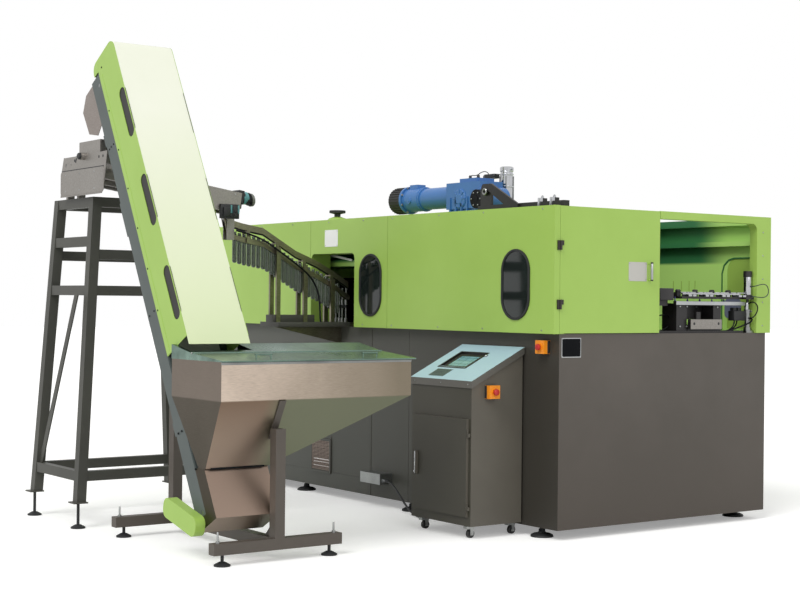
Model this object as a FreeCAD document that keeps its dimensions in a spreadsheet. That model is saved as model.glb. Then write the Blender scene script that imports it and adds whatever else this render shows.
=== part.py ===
import FreeCAD, Part

import math
import os
import re

import Sketcher

# Linear stretch blow moulding machine with preform hopper, belt elevator, roller sorter, chute and
# operator console. Millimetres, +Z up. The row's origin is the middle of the pad under the front foot at
# the outfeed end. +X points out of the outfeed end, -Y towards the operator.
#
# The pieces are drawn in machine coordinates, whose origin is the floor point under the front outfeed
# corner of the green enclosure; node() moves each finished piece to the row's origin.

SIZES = [
    # main machine
    ("machine_length", 4300, "green enclosure, along X"),
    ("machine_width", 1862, "green enclosure, along Y"),
    ("machine_height", 1950, "floor to the top of the enclosure"),
    ("table_height", 1203, "floor to the machine table"),
    ("floor_gap", 60, "floor to the underside of the base"),
    ("base_inset_end", 10, "base behind the enclosure's end face"),
    ("base_inset_front", 53, "base behind the enclosure's front face"),
    ("base_inset_rear", 36, "base inside the enclosure's rear face"),
    ("base_wall", 5, "steel sheet of the base"),
    ("base_rail", 80, "width of the square tube ring under the base"),
    ("base_rail_height", 60, "height of that ring"),
    ("base_seam", 1482, "seam between the base's front sheets, from the end face"),
    ("base_groove", 1915, "wider groove beside the access panel"),
    ("base_groove_width", 12, "that groove"),
    ("table_thickness", 16, "steel machine table"),
    ("sheet", 3, "painted sheet of the enclosure"),
    ("lip", 30, "return of a folded sheet at its top"),
    ("foot_lip", 80, "return of a front panel over the table"),
    ("seam", 3, "gap between two neighbouring panels"),
    # feet of the machine
    ("foot_inset_x", 206, "front outfeed foot behind the end face"),
    ("foot_inset_y", 106, "front outfeed foot behind the front face"),
    ("foot_inset_infeed", 190, "last foot before the infeed end"),
    ("foot_radius", 50, "rubber pad of a machine foot"),
    ("foot_pad", 14, "height of the rubber pad"),
    ("foot_stem", 12, "radius of a machine foot's stem"),
    # front panels, their windows and the infeed opening
    ("seam_left", 2622, "seam left of the infeed opening"),
    ("seam_right", 1669, "seam right of the first window"),
    ("infeed_left", 2610, "infeed opening, far side"),
    ("infeed_right", 2060, "infeed opening, near side"),
    ("infeed_top", 1712, "infeed opening, upper edge"),
    ("infeed_radius", 40, "its rounded upper corners"),
    ("infeed_depth", 160, "depth of the lining behind the opening"),
    ("window_width", 246, "stadium window"),
    ("window_low", 1286, "lower end of a window"),
    ("window_high", 1694, "upper end of a window"),
    ("window_infeed", 1863, "middle of the window by the infeed"),
    ("window_clamp", 343, "middle of the window by the clamp"),
    ("pane", 6, "thickness of a window pane"),
    ("seal", 8, "width of the rubber seal round a pane"),
    # outfeed end
    ("door_start", 45, "hinge edge of the end door, from the front face"),
    ("door_end", 854, "free edge of the end door"),
    ("door_depth", 28, "folded depth of the end door"),
    ("hinge_low", 1346, "lower end hinge"),
    ("hinge_high", 1690, "upper end hinge"),
    ("hinge_height", 56, "length of an end hinge"),
    ("hinge_barrel", 7, "radius of a hinge barrel"),
    ("hinge_pin", 3, "radius of a hinge pin"),
    ("running", 0.05, "radial clearance of a pin or a shaft"),
    ("free_gap", 0.3, "gap between pieces that move past each other"),
    ("handle_y", 761, "bar handle, from the front face"),
    ("handle_low", 1520, "lower end of the bar handle"),
    ("handle_length", 115, "length of the bar handle"),
    ("handle_reach", 34, "bar handle out of the door"),
    ("bay_start", 858, "near side of the open outfeed bay"),
    ("bay_end", 1730, "far side of the bay opening"),
    ("bay_head", 47, "frame over the outfeed bay"),
    ("bay_radius", 45, "rounded inner corner of the bay opening"),
    ("end_depth", 60, "depth of the box section round the bay"),
    ("bay_reach", 1000, "open roof over the bay, from the end face"),
    ("rear_rail_depth", 60, "depth of the rails on the rear wall"),
    ("rear_rail_drop", 182, "lower rail's underside, below the enclosure's top"),
    ("rear_rail_height", 32, "height of the lower rear rail"),
    ("arch_start", 367, "far side of the arched panel in the rear wall"),
    ("arch_end", 70, "its near side"),
    ("arch_head", 255, "arch's straight top, below the enclosure's top"),
    ("arch_radius", 90, "its rounded corners"),
    # access panel with vent
    ("access_left", 3050, "far side of the access panel"),
    ("access_right", 1930, "its near side"),
    ("access_low", 170, "its lower edge"),
    ("access_high", 1070, "its upper edge"),
    ("vent_left", 2647, "far side of the vent"),
    ("vent_size", 226, "side of the vent opening"),
    ("vent_slats", 9, "louvre slats"),
    # roof cap
    ("cap_x", 2490, "black cap on the roof, from the end face"),
    ("cap_y", 140, "black cap on the roof, from the front face"),
    # roof drive
    ("drive_y", 500, "axis of the gear motor, from the front face"),
    ("drive_rise", 145, "motor axis above the enclosure"),
    ("motor_end", 2264, "fan end of the motor, from the end face"),
    ("fan_length", 154, "fan cover"),
    ("fan_radius", 78, "fan cover"),
    ("flange_radius", 97, "motor flange"),
    ("flange_length", 20, "motor flange"),
    ("motor_radius", 82, "motor housing"),
    ("motor_length", 190, "motor housing"),
    ("stage_radius", 74, "input stage of the gearbox"),
    ("gearbox_start", 1560, "gearbox block, far side"),
    ("gearbox_width", 190, "gearbox block across the motor axis"),
    ("output_x", 1195, "output shaft, from the end face"),
    ("output_rise", 108, "output shaft above the enclosure"),
    ("output_radius", 84, "round end of the gearbox"),
    ("hub_radius", 62, "hub disc on the output shaft"),
    ("hub_length", 36, "hub disc"),
    ("shaft_radius", 18, "output shaft"),
    ("bracket_x", 1060, "ring of the bearing bracket"),
    ("bracket_rise", 146, "bearing above the enclosure"),
    ("bracket_thickness", 16, "bearing bracket and brace"),
    ("beam_end", 314, "near end of the roof beam"),
    ("beam_start", 1150, "far end of the roof beam"),
    ("beam_height", 62, "roof beam"),
    ("beam_width", 46, "roof beam"),
    # stretch cylinder and carriage
    ("stretch_x", 1257, "stretch cylinder, from the end face"),
    ("stretch_y", 680, "stretch cylinder, from the front face"),
    ("stretch_radius", 42, "stretch cylinder"),
    ("stretch_rise", 340, "top of the stretch cylinder above the enclosure"),
    ("rod_radius", 12, "piston rod of the stretch cylinder"),
    ("carriage_drop", 35, "carriage plate below the middle between moulds and roof"),
    # clamp
    ("clamp_x", 1290, "middle of the clamp, from the end face"),
    ("clamp_length", 760, "mould halves along the machine"),
    ("clamp_plate", 40, "end plates of the clamp"),
    ("clamp_span", 420, "closing plane to an end plate"),
    ("clamp_height", 520, "end plates of the clamp"),
    ("mould_depth", 110, "one mould half"),
    ("mould_height", 330, "mould halves"),
    ("mould_low", 1240, "underside of the mould halves"),
    ("platen", 36, "platen behind a mould half"),
    ("tie_radius", 22, "tie bars"),
    ("cavities", 4, "bottles blown at a time"),
    ("cavity_pitch", 160, "bottle to bottle"),
    ("bottle_radius", 34, "bottle body"),
    ("bottle_height", 230, "bottle body and shoulder"),
    ("neck_radius", 15, "bottle neck in the mould"),
    # oven and carrier track
    ("oven_left", 4050, "far end of the oven"),
    ("oven_length", 1240, "oven along the machine"),
    ("oven_depth", 150, "one oven bank"),
    ("oven_height", 360, "oven bank"),
    ("track_left", 4120, "far end of the carrier track"),
    ("track_right", 1760, "near end of the carrier track"),
    ("track_radius", 190, "turn of the carrier track"),
    ("track_y", 640, "middle of the carrier track"),
    ("mandrels", 10, "mandrels shown on the track"),
    # outfeed mechanism
    ("outfeed_x", 35, "front face of the guide rail behind the end face"),
    ("outfeed_rail_y", 1035, "near end of the guide rail"),
    ("outfeed_rail_length", 630, "guide rail"),
    ("outfeed_rail_z", 1378, "underside of the guide rail"),
    ("outfeed_rail_height", 24, "guide rail"),
    ("outfeed_depth", 150, "outfeed base along X"),
    ("gripper_pitch", 152, "gripper to gripper"),
    ("gripper_first", 1165, "first gripper, from the front face"),
    ("gripper_z", 1418, "underside of the gripper bar"),
    ("gripper_bar_height", 14, "gripper bar"),
    ("lift_y", 1700, "lift cylinder, from the front face"),
    ("lift_inset", 50, "lift cylinder behind the end face"),
    ("lift_radius", 18, "lift cylinder"),
    ("lift_rod", 8, "rod of the lift cylinder"),
    ("jaw_cylinder_radius", 28, "cylinder that works the jaws"),
    ("hose_port", 33, "ports of that cylinder, from its axis"),
    ("hose_rise", 68, "upper port over the cylinder's foot"),
    # elevator, in its own slanted coordinates: across is square to the belt, along follows it
    ("elevator_foot_x", 567, "foot of the elevator's back edge, from the end face"),
    ("elevator_foot_z", 201, "foot of the elevator's back edge above the floor"),
    ("elevator_tilt", 29.25, "elevator off the vertical, degrees"),
    ("elevator_y", 2000, "near side of the elevator, in front of the machine"),
    ("elevator_width", 385, "elevator over its side channels"),
    ("elevator_depth", 360, "back edge to front cover"),
    ("elevator_length", 2920, "foot to head, along the belt"),
    ("channel_depth", 110, "side channel, square to the belt"),
    ("channel_flange", 40, "side channel flange"),
    ("channel_wall", 4, "side channel"),
    ("channel_drop", 85, "channels' upper end, before the elevator's"),
    ("panel_start", 930, "lower end of the green side panels"),
    ("cover_start", 878, "lower end of the front cover"),
    ("hood_back", 50, "lower edge of the hood over the channels"),
    ("hood_drop", 70, "hood down the back"),
    ("hood_radius", 60, "rounded corners of the hood"),
    ("slot_length", 330, "slot in a side panel"),
    ("slot_width", 75, "slot in a side panel"),
    ("slot_across", 317, "middle of the slots, square to the belt"),
    ("slot_first", 1221, "lowest slot, along the belt"),
    ("slot_pitch", 598, "slot to slot"),
    ("slot_count", 3, "slots in a side panel"),
    ("roller_across", 80, "belt rollers, square to the belt"),
    ("tail_along", 20, "tail roller, along the belt"),
    ("head_drop", 150, "head roller, before the elevator's upper end"),
    ("roller_radius", 36, "belt rollers"),
    ("roller_shaft", 12, "shafts of the belt rollers"),
    ("belt", 4, "belt"),
    ("belt_margin", 12, "belt to side channel"),
    ("saddle_along", 1880, "saddle plate on the rear post, along the belt"),
    ("tie_along", 500, "lower tie between the channels"),
    ("guard_depth", 58, "chain guard, out from the channel"),
    ("guard_half", 55, "half the chain guard's height"),
    ("guard_length", 375, "chain guard, along its slope"),
    ("guard_fall", 13, "chain guard's slope towards the boot, degrees"),
    ("guard_x", 845, "far end of the chain guard"),
    ("guard_z", 262, "middle of the chain guard's far end"),
    ("spout_reach", 205, "discharge spout behind the channels"),
    ("spout_drop", 395, "spout's lower edge, before the elevator's upper end"),
    ("cleat_height", 36, "cleats on the belt"),
    ("cleat_count", 9, "cleats on one strand"),
    # hopper
    ("hopper_front", 280, "front of the skirt, from the end face"),
    ("hopper_back", 830, "back of the skirt"),
    ("hopper_near", 2022, "operator side of the skirt"),
    ("hopper_far", 812, "machine side of the skirt"),
    ("hopper_low", 858, "lower edge of the skirt"),
    ("hopper_high", 1060, "upper edge of the skirt"),
    ("hopper_wall", 3, "stainless sheet"),
    ("mouth_front", 480, "front of the funnel's mouth"),
    ("mouth_back", 560, "back of the funnel's mouth"),
    ("mouth_height", 490, "height of the funnel's mouth"),
    ("boot_across", 205, "front of the boot, square to the belt"),
    ("boot_drop", 63, "bottom of the boot under the elevator's foot"),
    ("boot_top", 250, "upper end of the boot, along the belt"),
    ("lid_knuckle", 5, "knuckles of the lid's hinge"),
    ("lid_handle_near", 1800, "nearer lid handle, before the machine's front face"),
    ("lid_handle_far", 1120, "farther lid handle"),
    ("lid_hinge", 600, "hinge line of the lid, from the end face"),
    ("lid_front", 262, "front edge of the lid"),
    ("lid_over", 22, "lid past the skirt on the machine side"),
    ("lid_rise", 36, "hinge line above the skirt"),
    ("cover_rise", 78, "rear cover above the skirt where it meets the elevator"),
    # floor frame
    ("tube", 60, "square tube of frame and stand"),
    ("frame_front", 326, "front cross bar, from the end face"),
    ("frame_rear", 1490, "rear cross bar"),
    ("frame_near", 2045, "near end of the cross bars"),
    ("frame_far", 1255, "far end of the cross bars"),
    ("frame_low", 60, "underside of the floor frame"),
    ("frame_beam_y", 1650, "middle of the long beam"),
    ("post_top", 700, "top of the front post"),
    ("pad_radius", 44, "pad of a frame or stand foot"),
    ("screw_radius", 9, "levelling screw"),
    # stand
    ("stand_left", 2609, "far legs at the floor, from the end face"),
    ("stand_right", 1942, "near legs at the floor"),
    ("stand_near", 2065, "operator side legs at the floor"),
    ("stand_far", 1100, "machine side legs at the floor"),
    ("stand_lean", 90, "legs lean inwards on their way up"),
    ("stand_low", 150, "lower end of the legs"),
    ("stand_top", 2000, "upper end of the legs"),
    ("rung_low", 280, "lowest rungs of the stand"),
    ("rung_middle", 1400, "middle rungs"),
    ("rung_side", 1620, "upper rungs of the two short sides"),
    ("rung_upper", 1700, "upper rungs of the two long sides"),
    # sorter
    ("sorter_y", 2000, "operator end of the sorter"),
    ("sorter_length", 1190, "sorter"),
    ("sorter_tilt", 8.5, "rollers down towards the machine, degrees"),
    ("sorter_x", 2300, "middle of the sorter's roller gap"),
    ("sorter_roller", 25, "sorting rollers"),
    ("sorter_gap", 30, "gap between the sorting rollers"),
    ("sorter_plate_left", 2395, "end plate"),
    ("sorter_plate_right", 1765, "end plate"),
    ("sorter_sheet", 4, "sorter sheet"),
    ("sorter_lift", 150, "trough over the stand's top at its operator end"),
    ("trough_half", 92, "half the trough's inner width"),
    ("roller_up", 60, "roller shafts over the trough's foot"),
    ("trough_height", 112, "trough's side sheets"),
    ("trough_lid", 330, "closed part of the trough at its lower end"),
    ("tray_length", 640, "tray beside the trough"),
    # chute
    ("chute_start", 905, "upper end of the chute, before the machine's front face"),
    ("chute_high", 1810, "upper end of the chute's rails"),
    ("chute_foot_reach", 530, "foot plate of the chute before the machine"),
    ("ring_rise", 0.3, "support ring over the rails"),
    ("chute_x", 2300, "middle of the chute"),
    ("rail_gap", 15, "middle of the chute to a rail's inner face"),
    ("rail_width", 6, "chute rail"),
    ("rail_height", 34, "chute rail"),
    ("preform_radius", 13, "preform body"),
    ("preform_flange", 17.5, "preform support ring"),
    ("preform_length", 128, "preform below its support ring"),
    ("preform_pitch", 48, "preform to preform"),
    # console
    ("console_right", 320, "console's side towards the outfeed end"),
    ("console_width", 580, "console along X"),
    ("console_front", 345, "console's front, before the enclosure face"),
    ("console_depth", 385, "console along Y"),
    ("console_low", 75, "underside of the console"),
    ("console_front_height", 905, "front edge under the sloping top"),
    ("console_back_height", 1093, "back edge under the sloping top"),
    ("console_sheet", 3, "console sheet"),
    ("console_top_sheet", 22, "folded sloping top"),
    ("console_door_margin", 24, "door to the cabinet's side"),
    ("console_door_low", 130, "lower edge of the door"),
    ("console_door_high", 700, "upper edge of the door"),
    ("console_handle_low", 340, "lower end of the door handle"),
    ("console_handle_length", 140, "door handle"),
    ("caster_radius", 25, "caster wheel"),
    ("caster_width", 20, "caster wheel"),
    ("caster_inset_x", 70, "caster to the cabinet's side"),
    ("caster_inset_y", 36, "caster to the cabinet's front or back"),
    ("caster_trail", 18, "wheel axle behind the swivel"),
    # emergency stops
    ("estop_size", 78, "emergency stop box"),
    ("estop_depth", 46, "emergency stop box"),
    ("estop_button", 18, "radius of the button"),
    ("estop_travel", 5, "travel of the button"),
    ("estop_base_x", 130, "box on the base, from the end face"),
    ("estop_base_z", 1124, "middle of that box"),
    ("estop_console_y", 208, "box on the console, before the enclosure face"),
    ("estop_console_z", 858, "middle of that box"),
    # console cable
    ("cable_radius", 7, "console cable"),
    ("hose_radius", 3, "air hose in the outfeed bay"),
    ("gland_radius", 13, "cable gland"),
    ("gland_length", 24, "cable gland"),
]

doc = FreeCAD.newDocument("blow_moulding_machine")
sheet = doc.addObject("Spreadsheet::Sheet", "Sizes")
for row, (alias, value, meaning) in enumerate(SIZES, 1):
    sheet.set("A%d" % row, alias)
    sheet.set("B%d" % row, str(value))
    sheet.set("C%d" % row, meaning)
    sheet.setAlias("B%d" % row, alias)
doc.recompute()

size = {alias: float(sheet.get(alias)) for alias, value, meaning in SIZES}
NODES = []
# Axis and angle that turn +Z to each axis.
TURNS = {
    "X": (FreeCAD.Vector(0, 1, 0), 90),
    "Y": (FreeCAD.Vector(1, 0, 0), -90),
    "Z": (FreeCAD.Vector(0, 0, 1), 0),
}


# ---------------------------------------------------------------- drawing

def bound(text):
    """The expression with each size's name pointing at its cell in the sheet."""
    def cell(word):
        name = word.group()
        return "Sizes." + name if name in size else name

    return re.sub(r"[a-z_]+", cell, text)


def bind(piece, **texts):
    """Bind properties of a piece; x, y and z stand for the parts of its place."""
    for name, text in texts.items():
        prop = "Placement.Base." + name if name in ("x", "y", "z") else name
        piece.setExpression(prop, bound(text))


def box(x, y, z, length, width, height):
    piece = doc.addObject("Part::Box", "Block")
    bind(piece, x=x, y=y, z=z, Length=length, Width=width, Height=height)
    return piece


def rod(axis, x, y, z, radius, length):
    """A round bar that starts at a point and runs along +X, +Y or +Z."""
    piece = doc.addObject("Part::Cylinder", "Bar")
    piece.Placement = FreeCAD.Placement(FreeCAD.Vector(), FreeCAD.Rotation(*TURNS[axis]))
    bind(piece, x=x, y=y, z=z, Radius=radius, Height=length)
    return piece


def fuse(*pieces):
    if len(pieces) == 1:
        return pieces[0]
    joined = doc.addObject("Part::MultiFuse", "Joined")
    joined.Shapes = list(pieces)
    return joined


def cut(base, *tools):
    piece = doc.addObject("Part::Cut", "Cut")
    piece.Base = base
    piece.Tool = fuse(*tools)
    return piece


def plate(plane, start, depth, points, rounds=()):
    """A flat piece: an outline drawn in XY, XZ or YZ, from start along the third axis for depth.

    rounds pairs some of the outline's points with the radius of their rounding.
    """
    body = doc.addObject("PartDesign::Body", "Plate")
    sketch = body.newObject("Sketcher::SketchObject", "Outline")
    sketch.AttachmentSupport = [(origin_plane(body, plane), "")]
    sketch.MapMode = "FlatFace"
    sketch.setExpression("AttachmentOffset.Base.z", bound("-(%s)" % start if plane == "XZ" else start))
    draw_outline(sketch, points)
    pad = body.newObject("PartDesign::Pad", "Pad")
    pad.Profile = sketch
    pad.Reversed = plane == "XZ"
    bind(pad, Length=depth)
    solid = pad
    for corners, radius in rounds:
        doc.recompute()
        ends = [sketch.getPoint(corner, 1) for corner in corners]
        rounding = body.newObject("PartDesign::Fillet", "Rounding")
        rounding.Base = (solid, edges_through(solid.Shape, plane, ends))
        bind(rounding, Radius=radius)
        solid = rounding
    return body


def origin_plane(body, plane):
    return [part for part in body.Origin.OriginFeatures if part.Role == plane + "_Plane"][0]


def draw_outline(sketch, points):
    """Draw a closed outline of straight edges, each point held by bound distances."""
    count = len(points)
    for number in range(count):
        start = FreeCAD.Vector(*spread(number, count))
        end = FreeCAD.Vector(*spread(number + 1, count))
        sketch.addGeometry(Part.LineSegment(start, end), False)
    for number in range(count):
        sketch.addConstraint(Sketcher.Constraint("Coincident", number, 2, (number + 1) % count, 1))
    for number, point in enumerate(points):
        for kind, text in zip(("DistanceX", "DistanceY"), point):
            index = sketch.addConstraint(Sketcher.Constraint(kind, -1, 1, number, 1, 1.0))
            sketch.setExpression("Constraints[%d]" % index, bound(text))


def spread(number, count):
    """A first place for a point of an outline, before its distances move it."""
    angle = 2 * math.pi * number / count
    return 100 * math.cos(angle), 100 * math.sin(angle), 0


def edges_through(shape, plane, ends):
    """Names of the edges that cross the outline's plane at the given points."""
    names = []
    for number, edge in enumerate(shape.Edges, 1):
        flat = {in_plane(vertex.Point, plane) for vertex in edge.Vertexes}
        if len(edge.Vertexes) == 2 and len(flat) == 1:
            if any(math.dist(next(iter(flat)), (end.x, end.y)) < 0.01 for end in ends):
                names.append("Edge%d" % number)
    return names


def in_plane(point, plane):
    values = {"X": point.x, "Y": point.y, "Z": point.z}
    return round(values[plane[0]], 3), round(values[plane[1]], 3)


def turned(axis, x, y, z, points):
    """A turned piece: (radius, height) points revolved about an axis that starts at x, y, z."""
    body = doc.addObject("PartDesign::Body", "Turned")
    sketch = body.newObject("Sketcher::SketchObject", "Half")
    sketch.AttachmentSupport = [(origin_plane(body, "XZ"), "")]
    sketch.MapMode = "FlatFace"
    draw_outline(sketch, points)
    turn = body.newObject("PartDesign::Revolution", "Revolution")
    turn.Profile = sketch
    turn.ReferenceAxis = (sketch, ["V_Axis"])
    turn.Angle = 360
    body.Placement = FreeCAD.Placement(FreeCAD.Vector(), FreeCAD.Rotation(*TURNS[axis]))
    bind(body, x=x, y=y, z=z)
    return body


def shaped(name, shape):
    """A piece whose shape is worked out from the sheet's values."""
    piece = doc.addObject("Part::Feature", name)
    piece.Shape = shape
    return piece


def rectangle(x0, x1, y0, y1, z):
    return [FreeCAD.Vector(*corner) for corner in ((x0, y0, z), (x1, y0, z), (x1, y1, z), (x0, y1, z))]


def hull_between(low, high):
    """A solid with flat sides between two level rectangles (x0, x1, y0, y1, z)."""
    foot, top = rectangle(*low), rectangle(*high)
    sides = [[foot[n], foot[(n + 1) % 4], top[(n + 1) % 4], top[n]] for n in range(4)]
    faces = [Part.Face(Part.makePolygon(ring + ring[:1])) for ring in [foot, top] + sides]
    return Part.makeSolid(Part.makeShell(faces))


def stadium(plane, start, depth, middle_u, middle_v, width, length):
    """A slot with round ends, its length along the plane's second axis."""
    axis = {"XZ": "Y", "YZ": "X"}[plane]
    half = "(%s)/2 - (%s)/2" % (length, width)
    parts = []
    for sign in ("-", "+"):
        v = "(%s) %s (%s)" % (middle_v, sign, half)
        place = {"XZ": (middle_u, start, v), "YZ": (start, middle_u, v)}[plane]
        parts.append(rod(axis, *place, "(%s)/2" % width, depth))
    u = "(%s) - (%s)/2" % (middle_u, width)
    v = "(%s) - (%s)" % (middle_v, half)
    tall = "(%s) - (%s)" % (length, width)
    if plane == "XZ":
        parts.append(box(u, start, v, width, depth, tall))
    else:
        parts.append(box(start, u, v, depth, width, tall))
    return fuse(*parts)


def node(label, *pieces, slanted=False):
    """The finished sub-part: its solids in one group, moved from machine to row coordinates."""
    group = doc.addObject("Part::Compound", "Node")
    group.Links = list(pieces)
    group.Label = label
    x, y, z = "foot_inset_x", "-foot_inset_y", "0"
    if slanted:
        group.Placement = FreeCAD.Placement(FreeCAD.Vector(), FreeCAD.Rotation(FreeCAD.Vector(0, 1, 0), 1))
        group.setExpression("Placement.Rotation.Angle", bound("-elevator_tilt"))
        x, y, z = "foot_inset_x - elevator_foot_x", "-foot_inset_y - elevator_y", "elevator_foot_z"
    bind(group, x=x, y=y, z=z)
    NODES.append(group)
    return group


# Levels and lines that several pieces share.
ROOF = "machine_height - sheet"
DRIVE_Z = "machine_height + drive_rise"
OUTPUT_Z = "machine_height + output_rise"
BEARING_Z = "machine_height + bracket_rise"
HEAD_ALONG = "elevator_length - head_drop"
CHANNEL_END = "elevator_length - channel_drop"
SPOUT_FOOT = "elevator_length - spout_drop"


# ---------------------------------------------------------------- base

BASE_FRONT = "base_inset_front"
BASE_FAR = "-machine_length + base_inset_end"
BASE_LENGTH = "machine_length - 2*base_inset_end"
BASE_DEPTH = "machine_width - base_inset_front - base_inset_rear"
TABLE_LOW = "table_height - table_thickness"


def base_cabinet():
    outer = box(BASE_FAR, BASE_FRONT, "floor_gap", BASE_LENGTH, BASE_DEPTH, TABLE_LOW + " - floor_gap")
    inner = box(BASE_FAR + " + base_wall", BASE_FRONT + " + base_wall", "floor_gap + base_rail_height",
                BASE_LENGTH + " - 2*base_wall", BASE_DEPTH + " - 2*base_wall", "table_height")
    under = box(BASE_FAR + " + base_rail", BASE_FRONT + " + base_rail", "0",
                BASE_LENGTH + " - 2*base_rail", BASE_DEPTH + " - 2*base_rail", "table_height")
    access = box("-access_left", "0", "access_low", "access_left - access_right", "200",
                 "access_high - access_low")
    groove = "base_wall/2"
    y = BASE_FRONT + " - 1"
    narrow = box("-base_seam - seam/2", y, "floor_gap", "seam", groove + " + 1", "table_height")
    wide = box("-base_groove", y, "floor_gap", "base_groove_width", groove + " + 1", "table_height")
    shell = cut(outer, inner, under, access, narrow, wide)
    table = box(BASE_FAR, BASE_FRONT, TABLE_LOW, BASE_LENGTH, BASE_DEPTH, "table_thickness")
    node("base_cabinet", fuse(shell, table))


def access_panel():
    fit = "1"
    front = box("-access_left + " + fit, BASE_FRONT, "access_low + " + fit,
                "access_left - access_right - 2*" + fit, "base_wall", "access_high - access_low - 2*" + fit)
    back = box("-access_left - 20", BASE_FRONT + " + base_wall", "access_low - 20",
               "access_left - access_right + 40", "sheet", "access_high - access_low + 40")
    vent_z = "access_low + 12"
    hole = box("-vent_left", "0", vent_z, "vent_size", "200", "vent_size")
    panel = cut(fuse(front, back), hole)
    rim = box("-vent_left - 14", BASE_FRONT + " - 4", vent_z + " - 10", "vent_size + 28", "4", "vent_size + 24")
    frame = cut(rim, box("-vent_left + 4", "0", vent_z + " + 4", "vent_size - 8", "200", "vent_size - 8"))
    slats = [slat(number, vent_z) for number in range(int(size["vent_slats"]))]
    node("access_panel", panel, fuse(frame, *slats))


def slat(number, vent_z):
    """One louvre slat, a sheet strip that leans outwards and down, its ends in the frame."""
    pitch = "(vent_size - 8)/vent_slats"
    low = "%s + 4 + %d*%s" % (vent_z, number, pitch)
    y = BASE_FRONT + " - 4"
    points = [(y, low), (y, low + " + 2"), (y + " + 16", low + " + 14"), (y + " + 16", low + " + 12")]
    return plate("YZ", "-vent_left + 3", "vent_size - 6", points)


def levelling_feet():
    """Pads and stems under the base, and pads with long screws under the floor frame and the stand."""
    feet = []
    span = "(machine_length - foot_inset_x - foot_inset_infeed)/3"
    for number in range(4):
        for y in ("foot_inset_y", "machine_width - foot_inset_y"):
            x = "-foot_inset_x - %d*%s" % (number, span)
            feet.append(turned("Z", x, y, "0", [
                ("0", "0"), ("foot_radius", "0"), ("foot_radius", "foot_pad"), ("foot_stem*2", "foot_pad + 12"),
                ("foot_stem", "foot_pad + 12"), ("foot_stem", "floor_gap"), ("0", "floor_gap")]))
    for x in ("-frame_front", "-frame_rear"):
        for y in ("-frame_near + pad_radius + 20", "-frame_far - pad_radius - 20"):
            feet.append(screw_foot(x, y, "frame_low"))
    for x in ("-stand_left", "-stand_right"):
        for y in ("-stand_near", "-stand_far"):
            feet.append(screw_foot(x, y, "stand_low"))
    node("levelling_feet", *feet)


def screw_foot(x, y, top):
    points = [("0", "0"), ("pad_radius", "0"), ("pad_radius", "8"), ("screw_radius*2", "22"),
              ("screw_radius", "22"), ("screw_radius", top), ("0", top)]
    return turned("Z", x, y, "0", points)


# ---------------------------------------------------------------- green enclosure

def front_panels():
    """Three folded sheets with returns at top and foot; the middle one has the infeed opening."""
    left = folded_front("-machine_length + sheet", "-seam_left - seam/2")
    middle = folded_front("-seam_left + seam/2", "-seam_right - seam/2")
    right = folded_front("-seam_right + seam/2", "0")
    opening = plate("XZ", "-50", "500", [
        ("-infeed_left", "table_height - 10"), ("-infeed_right", "table_height - 10"),
        ("-infeed_right", "infeed_top"), ("-infeed_left", "infeed_top")], [((2, 3), "infeed_radius")])
    middle = cut(middle, opening, window_hole("window_infeed", "0"))
    corner = box("-sheet", "0", "table_height", "sheet", "door_start - 2", "machine_height - table_height")
    right = fuse(cut(right, window_hole("window_clamp", "0")), corner)
    node("front_panels", left, fuse(middle, infeed_lining()), right)


def folded_front(start, end):
    tall = "machine_height - table_height"
    length = "(%s) - (%s)" % (end, start)
    face = box(start, "0", "table_height", length, "sheet", tall)
    top = box(start, "0", ROOF, length, "lip", "sheet")
    foot = box(start, "0", "table_height", length, "foot_lip", "sheet")
    return fuse(face, top, foot)


def window_hole(middle, extra):
    width = "window_width + 2*(%s)" % extra
    length = "window_high - window_low + 2*(%s)" % extra
    return stadium("XZ", "-50", "100", "-" + middle, "(window_low + window_high)/2", width, length)


def window_panes():
    """A tinted pane in each window, with the rubber profile that holds it on the sheet."""
    pieces = []
    for middle in ("window_infeed", "window_clamp"):
        level = "(window_low + window_high)/2"
        pieces.append(stadium("XZ", "-3", "pane", "-" + middle, level,
                              "window_width - 1", "window_high - window_low - 1"))
    node("window_panes", *pieces)


def infeed_lining():
    """Folded sheet round the inside of the infeed opening, open at front, back and foot."""
    z = "table_height"
    outer = box("-infeed_left - sheet", "sheet", z, "infeed_left - infeed_right + 2*sheet",
                "infeed_depth", "infeed_top + sheet - table_height")
    inner = box("-infeed_left", "0", z + " - 1", "infeed_left - infeed_right",
                "infeed_depth + 50", "infeed_top - table_height + 1")
    foot = box("-infeed_left - 10", "0", z + " - 1", "infeed_left - infeed_right + 20", "foot_lip + 1",
               "sheet + 1")
    return cut(outer, inner, foot)


def end_frame():
    """Header and far post round the open outfeed bay, folded as one box section."""
    under = "machine_height - bay_head"
    points = [("bay_start", "machine_height"), ("bay_start", under), ("bay_end", under),
              ("bay_end", "table_height"), ("machine_width - sheet", "table_height"),
              ("machine_width - sheet", "machine_height")]
    node("end_frame", plate("YZ", "-end_depth", "end_depth", points, [((2,), "bay_radius")]), *end_hinges())


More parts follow.
